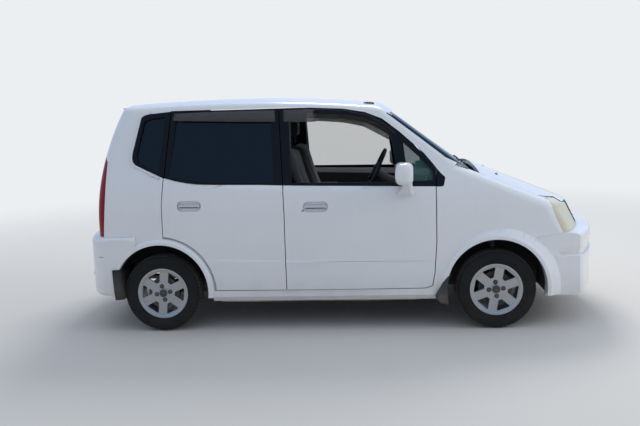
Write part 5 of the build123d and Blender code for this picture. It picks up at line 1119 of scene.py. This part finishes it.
# Studio
# A pale floor that keeps the shadow and fades into the pale distance, a soft sky, a large lamp above and
# beyond the car on its left, and a weaker one in front that shiny surfaces don't show.
FOCAL = 741.8
IMAGE_WIDTH = 640
CAMERA_PLACE = Vector((0.2869, -5.8692, 1.5752))
YAW, PITCH, ROLL = math.radians(-4.44), math.radians(-8.2), math.radians(-1.78)
ahead = Vector((math.sin(YAW) * math.cos(PITCH), math.cos(YAW) * math.cos(PITCH), math.sin(PITCH)))
level = Vector((math.cos(YAW), -math.sin(YAW), 0))
upright = level.cross(ahead)
right = math.cos(ROLL) * level + math.sin(ROLL) * upright
top = -math.sin(ROLL) * level + math.cos(ROLL) * upright
camera = bpy.data.objects.new("Camera", bpy.data.cameras.new("Camera"))
camera.data.sensor_width = 36
camera.data.lens = FOCAL / IMAGE_WIDTH * 36
camera.data.clip_end = 200
camera.matrix_world = Matrix.Translation(CAMERA_PLACE) @ Matrix((right, top, -ahead)).transposed().to_4x4()
collection.objects.link(camera)
bpy.context.scene.camera = camera
bpy.context.scene.view_settings.view_transform = "Standard"

PALE = (0.84, 0.86, 0.88)
floor_mesh = bpy.data.meshes.new("Floor")
floor_mesh.from_pydata([(-40, -40, 0), (40, -40, 0), (40, 40, 0), (-40, 40, 0)], [], [(0, 1, 2, 3)])
floor = bpy.data.objects.new("Floor", floor_mesh)
collection.objects.link(floor)
floor_material = bpy.data.materials.new("Pale floor")
floor_material.use_nodes = True
ground = floor_material.node_tree
add, link = wiring(ground)
floor_shader = ground.nodes["Principled BSDF"]
floor_shader.inputs["Base Color"].default_value = (0.60, 0.585, 0.56, 1)
floor_shader.inputs["Roughness"].default_value = 0.9
white, far_floor = add("ShaderNodeEmission", {"Color": (*PALE, 1)}), add("ShaderNodeMixShader")
spot_place, distance = add("ShaderNodeTexCoord"), add("ShaderNodeVectorMath", operation="LENGTH")
fade = add("ShaderNodeMapRange", {"From Min": 2.2, "From Max": 9.0}, interpolation_type="SMOOTHSTEP")
seen, rays = add("ShaderNodeMath", operation="MULTIPLY"), add("ShaderNodeLightPath")
link((spot_place, "Object", distance, 0), (distance, "Value", fade, "Value"), (fade, "Result", seen, 0),
     (rays, "Is Camera Ray", seen, 1), (seen, "Value", far_floor, "Fac"), (floor_shader, "BSDF", far_floor, 1),
     (white, "Emission", far_floor, 2), (far_floor, "Shader", ground.nodes["Material Output"], "Surface"))
floor.data.materials.append(floor_material)

# The sky lights the car softly from all round, more from above; the camera sees it pale, and shiny
# surfaces mirror it blue.
world = bpy.data.worlds.new("Sky")
bpy.context.scene.world = world
world.use_nodes = True
sky = world.node_tree
add, link = wiring(sky)
way, height = add("ShaderNodeTexCoord"), add("ShaderNodeSeparateXYZ")
light_sky = sky.nodes["Background"]
light_sky.inputs["Color"].default_value = (0.80, 0.88, 1.0, 1)
brightness = add("ShaderNodeMapRange", {"From Max": 0.8, "To Min": 0.40, "To Max": 0.85})
pale_sky, blue_sky = add("ShaderNodeBackground", {"Color": (*PALE, 1)}), add("ShaderNodeBackground")
blue = add("ShaderNodeValToRGB")
low_blue, high_blue = blue.color_ramp.elements
low_blue.position, low_blue.color = 0.01, (0.62, 0.72, 0.88, 1)
high_blue.position, high_blue.color = 0.30, (0.26, 0.47, 0.86, 1)
rays, mirrored, seen_sky = add("ShaderNodeLightPath"), add("ShaderNodeMixShader"), add("ShaderNodeMixShader")
direct = add("ShaderNodeMath", operation="MAXIMUM")
link((way, "Generated", height, "Vector"), (height, "Z", brightness, "Value"),
     (brightness, "Result", light_sky, "Strength"), (height, "Z", blue, "Fac"), (blue, "Color", blue_sky, "Color"),
     (rays, "Is Camera Ray", direct, 0), (rays, "Is Transmission Ray", direct, 1),
     (rays, "Is Glossy Ray", mirrored, "Fac"),
     (light_sky, "Background", mirrored, 1), (blue_sky, "Background", mirrored, 2),
     (direct, "Value", seen_sky, "Fac"), (mirrored, "Shader", seen_sky, 1), (pale_sky, "Background", seen_sky, 2),
     (seen_sky, "Shader", sky.nodes["World Output"], "Surface"))

for name, place, power, size, tint in (
    ("Key lamp", (0.5, 4.2, 6.5), 330, 3.0, (1, 0.97, 0.92)),
    ("Front lamp", (6.5, -1.5, 4.0), 110, 3.0, (1, 0.98, 0.96)),
):
    lamp = bpy.data.objects.new(name, bpy.data.lights.new(name, "AREA"))
    lamp.data.energy = power
    lamp.data.size = size
    lamp.data.color = tint
    lamp.visible_glossy = name == "Key lamp"
    lamp.location = place
    lamp.rotation_euler = (Vector((0, 0, 0.7)) - Vector(place)).to_track_quat("-Z", "Y").to_euler()
    collection.objects.link(lamp)
